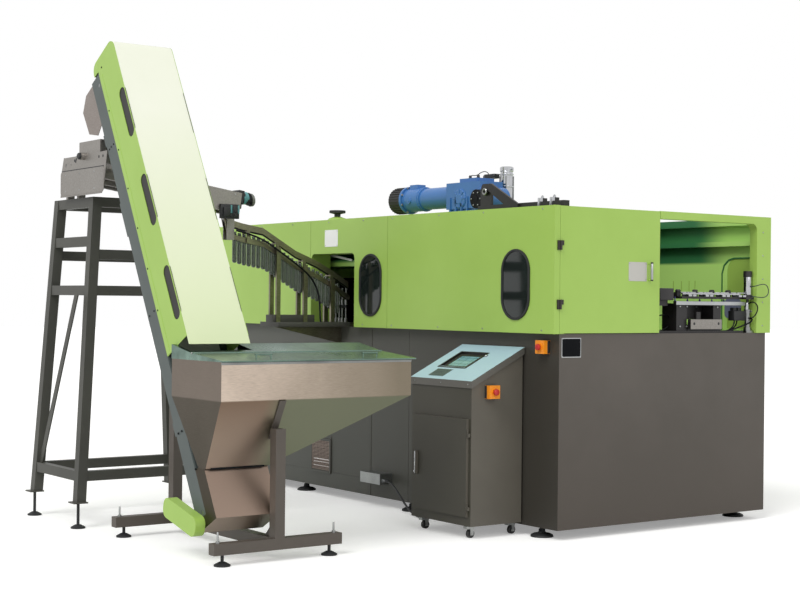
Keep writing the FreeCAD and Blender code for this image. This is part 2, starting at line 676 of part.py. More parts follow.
def rear_panels():
    """Rear wall with its rails and arched recess, and the plain wall at the infeed end."""
    y = "machine_width - sheet"
    far, tall = "-machine_length + sheet", "machine_height - table_height"
    wall = box(far, y, "table_height", "machine_length - sheet", "sheet", tall)
    reach, rail_y = "machine_length - sheet - end_depth", y + " - rear_rail_depth"
    top = box(far, rail_y, "machine_height - bay_head", reach, "rear_rail_depth", "bay_head")
    low = box(far, rail_y, "machine_height - rear_rail_drop", reach, "rear_rail_depth", "rear_rail_height")
    foot = box(far, y + " - foot_lip", "table_height", reach, "foot_lip", "sheet")
    outline = [("-arch_start", "table_height + 20"), ("-arch_end", "table_height + 20"),
               ("-arch_end", "machine_height - arch_head"), ("-arch_start", "machine_height - arch_head")]
    recess = plate("XZ", y + " - 1", "1 + sheet/2", outline, [((2, 3), "arch_radius")])
    infeed_end = box("-machine_length", "0", "table_height", "sheet", "machine_width", tall)
    node("rear_panels", cut(fuse(wall, top, low, foot, infeed_end), recess))


def roof_panel():
    """Roof sheet under the panels' returns, open over the outfeed bay, with a turned-down edge there."""
    z = "machine_height - 2*sheet"
    depth = "machine_width - 2*sheet - rear_rail_depth"
    back = box("-machine_length + sheet", "sheet", z, "machine_length - sheet - bay_reach", depth, "sheet")
    front = box("-bay_reach", "sheet", z, "bay_reach - door_depth - 4", "bay_start - 2*sheet - 4", "sheet")
    edge = box("-bay_reach - sheet", "bay_start", z + " - 40", "sheet",
               "machine_width - bay_start - 2*sheet - rear_rail_depth", "41")
    side = box("-bay_reach - sheet", "bay_start - sheet - 4", z + " - 40", "bay_reach - end_depth", "sheet", "41")
    deck = fuse(back, front, edge, side)
    rod_hole = rod("Z", "-stretch_x", "stretch_y", z + " - 50", "rod_radius + 6", "100")
    hump = turned("Z", "-cap_x", "cap_y", ROOF, [
        ("0", "0"), ("78", "0"), ("60", "22"), ("30", "32"), ("0", "32")])
    cap = turned("Z", "-cap_x", "cap_y", ROOF + " + 32", [
        ("0", "0"), ("22", "0"), ("22", "20"), ("55", "28"), ("55", "46"), ("0", "46")])
    node("roof_panel", cut(deck, rod_hole), hump, cap)


# ---------------------------------------------------------------- end door

HINGE_X = "hinge_barrel + 1"
HINGE_Y = "door_start"


def hinge_levels():
    return ("hinge_low", "hinge_high")


def end_hinges():
    """Fixed halves of the two end hinges: a leaf on the corner, a lower barrel and its pin."""
    halves = []
    for level in hinge_levels():
        leaf = box("0", "door_start - 24", level, "hinge_barrel + 1", "24 - 1", "hinge_height")
        barrel = rod("Z", HINGE_X, HINGE_Y, level, "hinge_barrel", "hinge_height/2 - free_gap")
        pin = rod("Z", HINGE_X, HINGE_Y, level, "hinge_pin", "hinge_height - 4")
        room = rod("Z", HINGE_X, HINGE_Y, level + " + hinge_height/2 - free_gap", "hinge_barrel + 0.5",
                   "hinge_height/2 + 1")
        halves.append(fuse(cut(leaf, room), barrel, pin))
    return halves


def end_door():
    """Pan-shaped door with the moving hinge halves and a bar handle."""
    low, tall = "table_height + sheet + 1", "machine_height - table_height - sheet - 3"
    width = "door_end - door_start"
    face = box("-door_depth", "door_start", low, "door_depth", width, tall)
    inside = box("-door_depth - 1", "door_start + sheet", low + " + sheet", "door_depth + 1 - sheet",
                 width + " - 2*sheet", tall + " - 2*sheet")
    halves = []
    for level in hinge_levels():
        start = level + " + hinge_height/2"
        leaf = box("0", "door_start + 1", start, "hinge_barrel + 1", "22", "hinge_height/2")
        barrel = rod("Z", HINGE_X, HINGE_Y, start, "hinge_barrel", "hinge_height/2")
        bore = rod("Z", HINGE_X, HINGE_Y, start + " - 1", "hinge_pin + running", "hinge_height/2 - 2")
        halves.append(cut(fuse(leaf, barrel), bore))
    pan = fuse(cut(face, inside), *halves)
    grip = [rod("Z", "handle_reach - 7", "handle_y", "handle_low", "7", "handle_length")]
    for level in ("handle_low + 8", "handle_low + handle_length - 8"):
        grip.append(rod("X", "0", "handle_y", level, "6", "handle_reach - 7"))
    node("end_door", fuse(pan, *grip))


# ---------------------------------------------------------------- roof drive

def drive_motor():
    """Ribbed motor with fan cover and flange, all turned about the motor axis."""
    fan = turned("X", "-motor_end", "drive_y", DRIVE_Z, [
        ("0", "0"), ("fan_radius*0.7", "0"), ("fan_radius", "18"), ("fan_radius", "fan_length"),
        ("0", "fan_length")])
    start = "-motor_end + fan_length"
    flange = rod("X", start, "drive_y", DRIVE_Z, "flange_radius", "flange_length")
    barrel = rod("X", start + " + flange_length", "drive_y", DRIVE_Z, "motor_radius", "motor_length")
    stage = rod("X", start + " + flange_length + motor_length", "drive_y", DRIVE_Z, "stage_radius",
                "motor_end - fan_length - flange_length - motor_length - gearbox_start")
    box_top = box(start + " + 50", "drive_y - 35", DRIVE_Z + " + motor_radius - 12", "90", "70", "34")
    node("drive_motor", fan, fuse(flange, barrel, stage, box_top))


def drive_gearbox():
    """Right-angle gearbox: a ribbed block, round at its output, on a foot that stands on the roof."""
    y = "drive_y - gearbox_width/2"
    case = box("-gearbox_start", y, DRIVE_Z + " - 92", "gearbox_start - output_x", "gearbox_width", "176")
    top = box("-gearbox_start + 120", y + " + 20", DRIVE_Z + " + 84", "180", "gearbox_width - 40", "26")
    end = rod("Y", "-output_x", y, OUTPUT_Z, "output_radius", "gearbox_width")
    foot = box("-gearbox_start - 10", y + " - 15", ROOF, "gearbox_start - output_x + 30",
               "gearbox_width + 30", "14")
    leg = box("-gearbox_start + 20", y + " + 10", ROOF + " + 14", "gearbox_start - output_x - 20",
              "gearbox_width - 20", "output_rise")
    ribs = [box("-gearbox_start + %d" % (40 + 62 * number), y + " - 8", ROOF + " + 14", "12",
                "gearbox_width + 16", "120") for number in range(4)]
    shaft_bore = rod("Y", "-output_x", y + " - 20", OUTPUT_Z, "shaft_radius + running", "gearbox_width + 40")
    node("drive_gearbox", cut(fuse(case, top, end, foot, leg, *ribs), shaft_bore))


def drive_shaft():
    """Output shaft with its hub disc, in front of the gearbox."""
    y = "drive_y - gearbox_width/2"
    start = y + " - hub_length - 2 - free_gap"
    shaft = rod("Y", "-output_x", start, OUTPUT_Z, "shaft_radius", "gearbox_width + hub_length + 1")
    hub = rod("Y", "-output_x", y + " - hub_length - free_gap", OUTPUT_Z, "hub_radius", "hub_length")
    key = box("-output_x - 5", start, OUTPUT_Z + " + shaft_radius - 2", "10", "hub_length", "8")
    node("drive_shaft", fuse(shaft, hub, key))


def shaft_bracket():
    """Bearing bracket beside the hub, its ring, the sloping brace and the long roof beam."""
    y = "drive_y - gearbox_width/2 - hub_length - 4 - bracket_thickness"
    foot = ROOF
    left, right = "-bracket_x - 62", "-bracket_x + 50"
    points = [(left, foot), (right, foot), (right, BEARING_Z + " + 10"), ("-bracket_x + 30", BEARING_Z + " + 52"),
              ("-bracket_x - 42", BEARING_Z + " + 52"), (left, BEARING_Z + " + 22")]
    bracket = plate("XZ", y, "bracket_thickness", points)
    ring = rod("Y", "-bracket_x", y + " - 14", BEARING_Z, "24", "14")
    hole = rod("Y", "-bracket_x", y + " - 15", BEARING_Z, "13", "40")
    brace_y = y + " - bracket_thickness"
    top = BEARING_Z + " + 50"
    low = foot + " + beam_height"
    brace = plate("XZ", brace_y, "bracket_thickness", [
        ("-bracket_x + 26", top), ("-bracket_x + 62", top), ("-bracket_x + 330", low + " - 4"),
        ("-bracket_x + 330", low + " - 50"), ("-bracket_x + 270", low + " - 50"),
        ("-bracket_x + 26", top + " - 40")])
    beam = box("-beam_start", y, foot, "beam_start - beam_end", "beam_width", "beam_height")
    pads = [box(x, y + " - 30", foot, "70", "beam_width + 60", "8")
            for x in ("-beam_end - 90", "-beam_end - 360")]
    clamps = [beam_clamp(x, y, foot) for x in ("-beam_end - 120", "-beam_end - 232")]
    node("shaft_bracket", fuse(cut(fuse(bracket, ring), hole), brace, beam, *pads), *clamps)


def beam_clamp(x, y, foot):
    """Bright clamp strap over the roof beam."""
    gap = "free_gap"
    outer = box(x, y + " - 8", foot + " + 8 + " + gap, "18", "beam_width + 16", "beam_height + 14")
    inner = box(x + " - 1", y + " - " + gap, foot, "20", "beam_width + 2*" + gap, "beam_height + " + gap)
    stud = rod("Z", x + " + 9", y + " + beam_width/2", foot + " + beam_height + 16", "5", "22")
    return fuse(cut(outer, inner), stud)


def stretch_cylinder():
    """Stainless pneumatic cylinder: foot flange, tube, collar and port nipple, over a bored rod guide."""
    foot = ROOF
    tall = "stretch_rise + sheet"
    body = turned("Z", "-stretch_x", "stretch_y", foot, [
        ("rod_radius + running", "0"), ("stretch_radius + 16", "0"), ("stretch_radius + 16", "16"),
        ("stretch_radius", "16"), ("stretch_radius", tall + " - 34"), ("stretch_radius + 4", tall + " - 30"),
        ("stretch_radius + 4", tall + " - 6"), ("stretch_radius - 4", tall), ("0", tall),
        ("0", tall + " - 40"), ("stretch_radius - 6", tall + " - 40"), ("stretch_radius - 6", "30"),
        ("rod_radius + running", "30")])
    nipple = rod("X", "-stretch_x + stretch_radius", "stretch_y", "machine_height + stretch_rise - 20", "6", "22")
    node("stretch_cylinder", fuse(body, nipple), air_valve())


def air_valve():
    """Black pilot valve on bright fittings, standing on the roof beside the cylinder."""
    x, y, foot = "-stretch_x - 150", "stretch_y - 20", ROOF
    top = "machine_height + stretch_rise - 90"
    column = turned("Z", x, y, foot, [("0", "0"), ("26", "0"), ("26", "10"), ("14", "10"), ("14", "180"),
                                      ("22", "190"), ("22", "232"), ("0", "232")])
    arm = rod("X", x, y, foot + " + 212", "11", "150 - stretch_radius - free_gap")
    head = box(x + " - 34", y + " - 24", top + " + 17", "104", "48", "30")
    neck = rod("Z", x, y, foot + " + 232", "12", "stretch_rise + sheet - 305")
    knob = rod("X", x + " - 58", y, top + " + 32", "16", "24")
    return fuse(column, arm, neck, head, knob)


# ---------------------------------------------------------------- clamp, stretch carriage, oven

CLAMP_LEFT = "-clamp_x - clamp_length/2"


def clamp_frame():
    """Two end plates on the table, tied by four bars along Y that carry the mould carriers."""
    pieces = []
    for y in ("stretch_y - clamp_span - clamp_plate", "stretch_y + clamp_span"):
        pieces.append(box(CLAMP_LEFT, y, "table_height", "clamp_length", "clamp_plate", "clamp_height"))
    start = "stretch_y - clamp_span"
    for x, z in tie_places():
        pieces.append(rod("Y", x, start + " - clamp_plate", z, "tie_radius", "2*clamp_span + 2*clamp_plate"))
    head = [box(CLAMP_LEFT, y, "table_height + clamp_height", "60", "clamp_plate",
                "machine_height - 2*sheet - table_height - clamp_height")
            for y in ("stretch_y - clamp_span - clamp_plate", "stretch_y + clamp_span")]
    node("clamp_frame", fuse(*pieces, *head))


def tie_places():
    places = []
    for x in (CLAMP_LEFT + " + 46", CLAMP_LEFT + " + clamp_length - 46"):
        for z in ("mould_low + 26", "mould_low + mould_height + 96"):
            places.append((x, z))
    return places


def mould_carriers():
    """A platen on the tie bars with one half of the bottle moulds, in front of and behind the line."""
    for label, side in (("mould_carrier_front", -1), ("mould_carrier_rear", 1)):
        near = "free_gap/2" if side > 0 else "-free_gap/2 - mould_depth"
        far = "free_gap/2 + mould_depth" if side > 0 else "-free_gap/2 - mould_depth - platen"
        x, long_side = CLAMP_LEFT + " + 96", "clamp_length - 192"
        half = box(x, "stretch_y + (%s)" % near, "mould_low + 10", long_side, "mould_depth", "mould_height")
        bottles = [bottle(number) for number in range(int(size["cavities"]))]
        mould = cut(half, *bottles)
        board = box(CLAMP_LEFT, "stretch_y + (%s)" % far, "mould_low - 10", "clamp_length", "platen",
                    "mould_height + 142")
        bores = [rod("Y", bar_x, "stretch_y + (%s) - 1" % far, bar_z, "tie_radius + running", "platen + 2")
                 for bar_x, bar_z in tie_places()]
        node(label, fuse(mould, cut(board, *bores)))


def bottle(number):
    """The space of one bottle: body, shoulder and neck, open at the top of the mould."""
    x = "-clamp_x + (%d - (cavities - 1)/2)*cavity_pitch" % number
    foot = "mould_low + 10 + mould_height - bottle_height - 40"
    return turned("Z", x, "stretch_y", foot, [
        ("0", "0"), ("bottle_radius", "0"), ("bottle_radius", "bottle_height*0.7"),
        ("neck_radius", "bottle_height"), ("neck_radius", "bottle_height + 60"), ("0", "bottle_height + 60")])


# Underside of the carriage plate, between the moulds and the roof.
CARRIAGE = "((mould_low + mould_height + 10 + machine_height)/2 - carriage_drop)"


def stretch_carriage():
    """Plate over the moulds with four stretch rods, hung on the piston rod."""
    board = box("-clamp_x - cavity_pitch*1.8", "stretch_y - 60", CARRIAGE, "cavity_pitch*3.6", "120", "26")
    stem = rod("Z", "-stretch_x", "stretch_y", CARRIAGE + " + 26", "rod_radius",
               "machine_height + 84 - " + CARRIAGE)
    pieces = [board, stem]
    for number in range(int(size["cavities"])):
        x = "-clamp_x + (%d - (cavities - 1)/2)*cavity_pitch" % number
        length = CARRIAGE + " - mould_low - mould_height + 5"
        step = "(%s)*0.88" % length
        pieces.append(turned("Z", x, "stretch_y", CARRIAGE + " - (%s)" % length, [
            ("0", "0"), ("6", "0"), ("6", step), ("10", step), ("10", length), ("0", length)]))
    node("stretch_carriage", fuse(*pieces))


def oven_unit():
    """Two lamp banks along the infeed half: reflector troughs with rows of heating lamps between them."""
    pieces = []
    for side, y in ((1, "track_y - track_radius - 70 - oven_depth"), (-1, "track_y + track_radius + 70")):
        shell = box("-oven_left", y, "table_height", "oven_length", "oven_depth", "oven_height")
        open_y = y + " + 10" if side > 0 else y + " - 1"
        room = box("-oven_left + 10", open_y, "table_height + 60", "oven_length - 20", "oven_depth - 9",
                   "oven_height - 80")
        lamps = []
        for number in range(4):
            level = "table_height + 100 + %d*(oven_height - 140)/4" % number
            lamps.append(rod("X", "-oven_left + 5", y + " + oven_depth/2", level, "6", "oven_length - 10"))
        pieces.append(fuse(cut(shell, room), *lamps))
    node("oven_unit", *pieces, carrier_track())


def carrier_track():
    """Oval rail on the table with the mandrels that carry preforms through the oven."""
    rail = cut(oval("track_radius + 16", "table_height", "50"),
               oval("track_radius - 16", "table_height - 1", "60"))
    pieces = [rail]
    pitch = "(track_left - track_right - 2*track_radius)/(mandrels/2 - 1)"
    for number in range(int(size["mandrels"] / 2)):
        for y in ("track_y - track_radius", "track_y + track_radius"):
            x = "-track_left + track_radius + %d*%s" % (number, pitch)
            pieces.append(rod("Z", x, y, "table_height + 50", "13", "70"))
    return fuse(*pieces)


def oval(radius, z, height):
    start, end = "-track_left + track_radius", "-track_right - track_radius"
    ends = [rod("Z", x, "track_y", z, radius, height) for x in (start, end)]
    middle = box(start, "track_y - (%s)" % radius, z, "(%s) - (%s)" % (end, start), "2*(%s)" % radius, height)
    return fuse(*ends, middle)


# ---------------------------------------------------------------- outfeed bay

OUT_X = "-outfeed_x - outfeed_depth"


def outfeed_base():
    """Black base plate, two posts with a cross plate, and the block at the end of the bottle line."""
    floor = box("-outfeed_x - 330", "outfeed_rail_y - 150", "table_height", "330",
                "outfeed_rail_length + 130", "14")
    post_z = "table_height + 14"
    tall = "outfeed_rail_z - table_height - 14"
    left = box(OUT_X, "outfeed_rail_y + 30", post_z, "outfeed_depth - 26", "92", tall)
    right = box(OUT_X, "outfeed_rail_y + 360", post_z, "outfeed_depth - 26", "70", tall)
    cross = box(OUT_X, "outfeed_rail_y + 120", "outfeed_rail_z - 90", "24", "250", "90")
    stop = box("-outfeed_x - 250", "outfeed_rail_y - 130", "outfeed_rail_z - 6", "210", "96", "98")
    leg = box("-outfeed_x - 230", "outfeed_rail_y - 120", post_z, "60", "70", tall)
    node("outfeed_base", fuse(floor, left, right, cross, stop, leg, *guide_rail()))


def guide_rail():
    """Bright guide rail across the posts, and the grey bracket plate with its sensor block below."""
    rail = box("-outfeed_x - 26", "outfeed_rail_y", "outfeed_rail_z", "26", "outfeed_rail_length",
               "outfeed_rail_height")
    rest = box(OUT_X, "outfeed_rail_y + 20", "outfeed_rail_z", "outfeed_depth - 26",
               "outfeed_rail_length - 90", "10")
    board = box("-outfeed_x - 26", "outfeed_rail_y + 130", "table_height + 24", "12", "280", "62")
    notch = rod("X", "-outfeed_x - 30", "outfeed_rail_y + 260", "table_height + 62", "12", "30")
    sensor = box("-outfeed_x - 26", "outfeed_rail_y + 185", "table_height + 86", "22", "36", "46")
    arm = box("-outfeed_x - 40", "outfeed_rail_y + 130", "table_height + 14", "14", "230", "40")
    return rail, rest, cut(board, notch), sensor, arm


LIFT_X = "-lift_inset"


def lift_cylinder():
    """Air cylinder under the gripper bar, on its own foot on the table."""
    foot = box(LIFT_X + " - 30", "lift_y - 40", "table_height", "60", "66", "14")
    body = turned("Z", LIFT_X, "lift_y", "table_height + 14", [
        ("0", "0"), ("lift_radius + 6", "0"), ("lift_radius + 6", "22"), ("lift_radius", "22"),
        ("lift_radius", "112"), ("lift_radius + 4", "112"), ("lift_radius + 4", "136"), ("0", "136")])
    bore = rod("Z", LIFT_X, "lift_y", "table_height + 60", "lift_rod + running", "200")
    port = rod("X", LIFT_X, "lift_y", "table_height + 14 + 124", "5", "lift_radius + 18")
    node("lift_cylinder", cut(fuse(foot, body, port), bore))


def gripper_bar():
    """Bar over the guide rail with a housing for each pair of jaws, on the lift cylinder's rod."""
    z = "gripper_z"
    bar = box(OUT_X + " + 20", "gripper_first - 70", z, "outfeed_depth - 30", "lift_y - gripper_first + 22",
              "gripper_bar_height")
    arm = box(LIFT_X + " - 36", "lift_y - 50", z, "70", "72", "gripper_bar_height")
    pieces = [bar, arm]
    for number in range(int(size["cavities"])):
        y = "gripper_first + %d*gripper_pitch" % number
        pieces.append(box(OUT_X + " + 30", y + " - 72", z + " + gripper_bar_height", "70", "34", "26"))
    stem = rod("Z", LIFT_X, "lift_y", "table_height + 80", "lift_rod", "gripper_z - table_height - 80 + 1")
    node("gripper_bar", fuse(*pieces, stem, jaw_cylinder()))


def jaw_cylinder():
    """Air cylinder on the gripper bar that opens and closes the jaws: black heads, bright tube, two ports."""
    z = "gripper_z + gripper_bar_height"
    body = turned("Z", LIFT_X, "lift_y", z, [
        ("0", "0"), ("jaw_cylinder_radius", "0"), ("jaw_cylinder_radius", "14"), ("jaw_cylinder_radius - 3", "14"),
        ("jaw_cylinder_radius - 3", "130"), ("jaw_cylinder_radius", "130"), ("jaw_cylinder_radius", "168"),
        ("0", "168")])
    ports = [rod("X", LIFT_X, "lift_y", z + " + " + level, "5", "hose_port") for level in ("7", "hose_rise")]
    return fuse(body, *ports)


def gripper_jaws():
    """Near and far halves of the neck grips, each set on a bar so that it moves together."""
    z = "gripper_z + gripper_bar_height + free_gap"
    for label, side in (("gripper_jaws_near", -1), ("gripper_jaws_far", 1)):
        pieces = []
        bar_x = OUT_X + (" + 104" if side < 0 else " + 112")
        pieces.append(box(bar_x, "gripper_first - 40", z + " + 14", "6",
                          "(cavities - 1)*gripper_pitch + 76", "8"))
        for number in range(int(size["cavities"])):
            y = "gripper_first + %d*gripper_pitch" % number
            start = y + (" - 34" if side < 0 else " + 1")
            jaw = box(OUT_X + " + 104", start, z, "60", "33", "12")
            neck = rod("Z", OUT_X + " + 150", y, z + " - 5", "neck_radius", "40")
            web = box(bar_x, y + (" - 30" if side < 0 else " + 4"), z + " + 11", "6", "26", "4")
            pieces.append(fuse(cut(jaw, neck), web))
        node(label, fuse(*pieces))


# ---------------------------------------------------------------- elevator

WIDTH = "elevator_width"
BELT_OUT = "roller_radius + free_gap + belt"
BELT_SIDE = "channel_flange + belt_margin"


def elevator_frame():
    """Two side channels with bearing bosses, saddle plates behind them and the bed under the belt."""
    near = channel("0", "+")
    far = channel(WIDTH, "-")
    ties = [box("-12", "0", along, "12", WIDTH, tall)
            for along, tall in (("tie_along", "80"), ("saddle_along - 110", "220"), (SPOUT_FOOT + " - 140", "80"))]
    bosses = []
    for along in ("tail_along", HEAD_ALONG):
        for y in ("channel_wall", WIDTH + " - channel_wall - 8"):
            bosses.append(box("12", y, along + " - 20", "channel_depth - 24", "8", "60"))
    bores = [rod("Y", "roller_across", "-10", along, "roller_shaft + running", WIDTH + " + 20")
             for along in ("tail_along", HEAD_ALONG)]
    bed = box("channel_depth", "sheet + free_gap", "tail_along + 90",
              "roller_across + roller_radius - channel_depth", WIDTH + " - 2*sheet - 2*free_gap",
              HEAD_ALONG + " - tail_along - 180")
    node("elevator_frame", cut(fuse(near, far, *ties, *bosses, bed), *bores), slanted=True)


def channel(edge, sign):
    """A folded channel along the belt, its web at one side of the elevator."""
    deep, wall = "channel_depth", "channel_wall"
    flange, web = edge + sign + "channel_flange", edge + sign + "channel_wall"
    points = [("0", edge), (deep, edge), (deep, flange), (deep + " - " + wall, flange), (deep + " - " + wall, web),
              (wall, web), (wall, flange), ("0", flange)]
    return plate("XY", "0", CHANNEL_END, points)


def elevator_side_panels():
    outline = [("channel_depth", "panel_start"), ("elevator_depth", "panel_start"),
               ("elevator_depth", "elevator_length"), ("hood_back", "elevator_length"),
               ("hood_back", "elevator_length - hood_drop"), ("channel_depth", "elevator_length - hood_drop")]
    pieces = []
    for start in ("0", WIDTH + " - sheet"):
        slots = [stadium("XZ", start + " - 5", "15", "slot_across", "slot_first + %d*slot_pitch" % number,
                         "slot_width", "slot_length") for number in range(int(size["slot_count"]))]
        side = plate("XZ", start, "sheet", outline, [((2, 3), "hood_radius")])
        pieces.append(cut(side, *slots))
    node("elevator_side_panels", *pieces, slanted=True)


def elevator_cover():
    """Pale front sheet that folds over the head and down the back as a hood."""
    deep, top, wall = "elevator_depth", "elevator_length", "sheet"
    drop = top + " - hood_drop"
    points = [(deep, "cover_start"), (deep, top), ("hood_back", top), ("hood_back", drop),
              ("hood_back + " + wall, drop), ("hood_back + " + wall, top + " - " + wall),
              (deep + " - " + wall, top + " - " + wall), (deep + " - " + wall, "cover_start")]
    rounds = [((1, 2), "hood_radius"), ((5, 6), "hood_radius - sheet")]
    cover = plate("XZ", "sheet + free_gap", WIDTH + " - 2*sheet - 2*free_gap", points, rounds)
    node("elevator_cover", cover, slanted=True)


def belt_rollers():
    """Head and tail rollers of the belt, their shafts in the channels' bosses."""
    for label, along in (("tail_roller", "tail_along"), ("head_roller", HEAD_ALONG)):
        shaft = rod("Y", "roller_across", "1", along, "roller_shaft", WIDTH + " - 2")
        drum = rod("Y", "roller_across", "channel_flange + 2", along, "roller_radius",
                   WIDTH + " - 2*channel_flange - 4")
        node(label, fuse(shaft, drum), slanted=True)


def elevator_belt():
    """Endless belt round both rollers with the cleats that lift the preforms."""
    width = WIDTH + " - 2*(%s)" % BELT_SIDE
    outer = belt_loop(BELT_OUT, BELT_SIDE, width)
    inner = belt_loop("roller_radius + free_gap", BELT_SIDE + " - 1", width + " + 2")
    pitch = "(%s - tail_along - 200)/cleat_count" % HEAD_ALONG
    cleats = []
    for number in range(int(size["cleat_count"])):
        along = "tail_along + 60 + %d*%s" % (number, pitch)
        cleats.append(box("roller_across + %s - 1" % BELT_OUT, BELT_SIDE, along, "cleat_height + 1", width, "6"))
        cleats.append(box("roller_across - (%s) - cleat_height" % BELT_OUT, BELT_SIDE, along + " + 110",
                          "cleat_height + 1", width, "6"))
    node("elevator_belt", fuse(cut(outer, inner), *cleats), slanted=True)


def belt_loop(radius, y, width):
    ends = [rod("Y", "roller_across", y, along, radius, width) for along in ("tail_along", HEAD_ALONG)]
    middle = box("roller_across - (%s)" % radius, y, "tail_along", "2*(%s)" % radius, width,
                 HEAD_ALONG + " - tail_along")
    return fuse(*ends, middle)


def chain_guard():
    """Pan over the chain from the drive to the tail roller, on the operator side of the channel."""
    guard = plate("XZ", "-elevator_y - guard_depth", "guard_depth", guard_outline("guard_half"),
                  [((0, 1, 2, 3), "guard_half*0.8")])
    inside = plate("XZ", "-elevator_y - guard_depth + sheet", "guard_depth", guard_outline("guard_half - sheet"),
                   [((0, 1, 2, 3), "guard_half*0.8 - sheet")])
    node("chain_guard", cut(guard, inside))


def guard_outline(half):
    """Corners of the slanted pan: its centre line falls towards the boot."""
    run, fall = "guard_length*cos(guard_fall)", "guard_length*sin(guard_fall)"
    grow = "(%s) - guard_half" % half
    corners = []
    for end, side in ((0, 1), (0, -1), (1, -1), (1, 1)):
        x = "-guard_x + %d*(%s) %s (%s)*cos(guard_fall) %s (%s)*sin(guard_fall)" % (
            end, run, "+" if end else "-", grow, "+" if side > 0 else "-", half)
        z = "guard_z - %d*(%s) %s (%s)*sin(guard_fall) %s (%s)*cos(guard_fall)" % (
            end, fall, "-" if end else "+", grow, "+" if side > 0 else "-", half)
        corners.append((x, z))
    return corners


def discharge_spout():
    """Sheet chute behind the head that drops the preforms into the sorter, open at its foot."""
    outline = [("0", CHANNEL_END), ("-120", CHANNEL_END), ("-spout_reach", CHANNEL_END + " - 68"),
               ("-spout_reach + 15", SPOUT_FOOT + " + 75"), ("-90", SPOUT_FOOT), ("0", SPOUT_FOOT + " + 35")]
    top, below = CHANNEL_END + " - 3", SPOUT_FOOT + " - 60"
    inside = [("1", top), ("-119", top), ("-spout_reach + 3", CHANNEL_END + " - 69"),
              ("-spout_reach + 18", below), ("-90", below), ("1", below)]
    shell = plate("XZ", "10", WIDTH + " - 20", outline)
    room = plate("XZ", "13", WIDTH + " - 26", inside)
    node("discharge_spout", cut(shell, room), slanted=True)


# ---------------------------------------------------------------- hopper

def slant(shape):
    """A shape drawn in the elevator's coordinates, moved to machine coordinates."""
    turn = FreeCAD.Rotation(FreeCAD.Vector(0, 1, 0), -size["elevator_tilt"])
    foot = FreeCAD.Vector(-size["elevator_foot_x"], -size["elevator_y"], size["elevator_foot_z"])
    moved = shape.copy()
    moved.Placement = FreeCAD.Placement(foot, turn)
    return moved


def block(x0, x1, y0, y1, z0, z1):
    return Part.makeBox(x1 - x0, y1 - y0, z1 - z0, FreeCAD.Vector(x0, y0, z0))


def elevator_room(across_low, across_high, gap):
    """The space that the elevator takes, with a gap at its sides."""
    y = (-gap, size["elevator_width"] + gap)
    return slant(block(across_low, across_high, *y, -100, size["elevator_length"]))


def hopper_space(inset):
    """Skirt and funnel as one solid, its walls moved in by an inset."""
    s = size
    skirt = (-s["hopper_back"] + inset, -s["hopper_front"] - inset,
             -s["hopper_near"] + inset, -s["hopper_far"] - inset)
    mouth = (-s["mouth_back"] + inset, -s["mouth_front"] - inset, -s["elevator_y"] + inset,
             -s["elevator_y"] + s["elevator_width"] - inset)
    over = 1 if inset else 0
    upper = block(*skirt, s["hopper_low"], s["hopper_high"] + over)
    lower = hull_between((*mouth, s["mouth_height"] - over), (*skirt, s["hopper_low"]))
    return upper.fuse(lower)


def hopper_shell():
    """Stainless skirt and funnel over the boot that leads the preforms to the belt."""
    s, wall = size, size["hopper_wall"]
    width, front = s["elevator_width"], s["boot_across"]
    low, top = -s["boot_drop"], s["boot_top"]
    boot = block(0, front, 0, width, low, top)
    room = block(-1, front - wall, wall, width - wall, low + wall, top + 1)
    side_room = block(-1, s["channel_depth"], -1, width + 1, 0, top + 1)
    boot = slant(boot.cut(room).cut(side_room))
    shell = hopper_space(0).cut(hopper_space(wall))
    shell = shell.cut(elevator_room(-300, front - wall, s["free_gap"]))
    shell = shell.cut(slant(block(-300, front - wall, 0, width, low, top)))
    return shell.fuse(boot)


def hopper():
    """Hopper shell, the rear cover that seats on its skirt round the elevator, and the hinged lid."""
    s, wall = size, size["hopper_wall"]
    y0, y1 = -s["hopper_near"] - 2, -s["hopper_far"] + s["lid_over"]
    hinge_z, foot = s["hopper_high"] + s["lid_rise"], s["hopper_high"]
    back, hinge, front = -s["hopper_back"] - 2, -s["lid_hinge"], -s["lid_front"]
    back_z = foot + s["cover_rise"]
    rear = wedge((back, back_z), (hinge - s["free_gap"], hinge_z), foot, y0, y1)
    room = wedge((back + wall, back_z - wall), (hinge + 1, hinge_z - wall), foot - 1, y0 + wall, y1 - wall)
    rear = rear.cut(room).cut(elevator_room(-30, s["elevator_depth"] + s["free_gap"], s["free_gap"]))
    lid_gap = s["free_gap"]
    lid = wedge((hinge + lid_gap, hinge_z), (front, foot + 7), foot + lid_gap, y0, y1)
    lid_room = wedge((hinge - 1, hinge_z - wall), (front - wall, foot + 7 - wall), foot - 1, y0 + wall, y1 - wall)
    lid = lid.cut(lid_room)
    axis = FreeCAD.Vector(hinge, y0, hinge_z)
    count = 7
    step = (y1 - y0) / count
    for number in range(count):
        start = axis + FreeCAD.Vector(0, number * step + lid_gap / 2, 0)
        knuckle = Part.makeCylinder(s["lid_knuckle"], step - lid_gap, start, FreeCAD.Vector(0, 1, 0))
        room = Part.makeCylinder(s["lid_knuckle"] + lid_gap, step, axis + FreeCAD.Vector(0, number * step, 0),
                                 FreeCAD.Vector(0, 1, 0))
        if number % 2:
            lid, rear = lid.fuse(knuckle), rear.cut(room)
        else:
            rear, lid = rear.fuse(knuckle), lid.cut(room)
    for y in (-s["lid_handle_near"], -s["lid_handle_far"]):
        lid = lid.fuse(lid_handle(y, front, foot + 7, (hinge_z - foot - 7) / (hinge - front)))
    node("hopper_body", shaped("Hopper", hopper_shell().removeSplitter()))
    node("hopper_cover", shaped("Cover", rear.removeSplitter()))
    node("hopper_lid", shaped("Lid", lid))


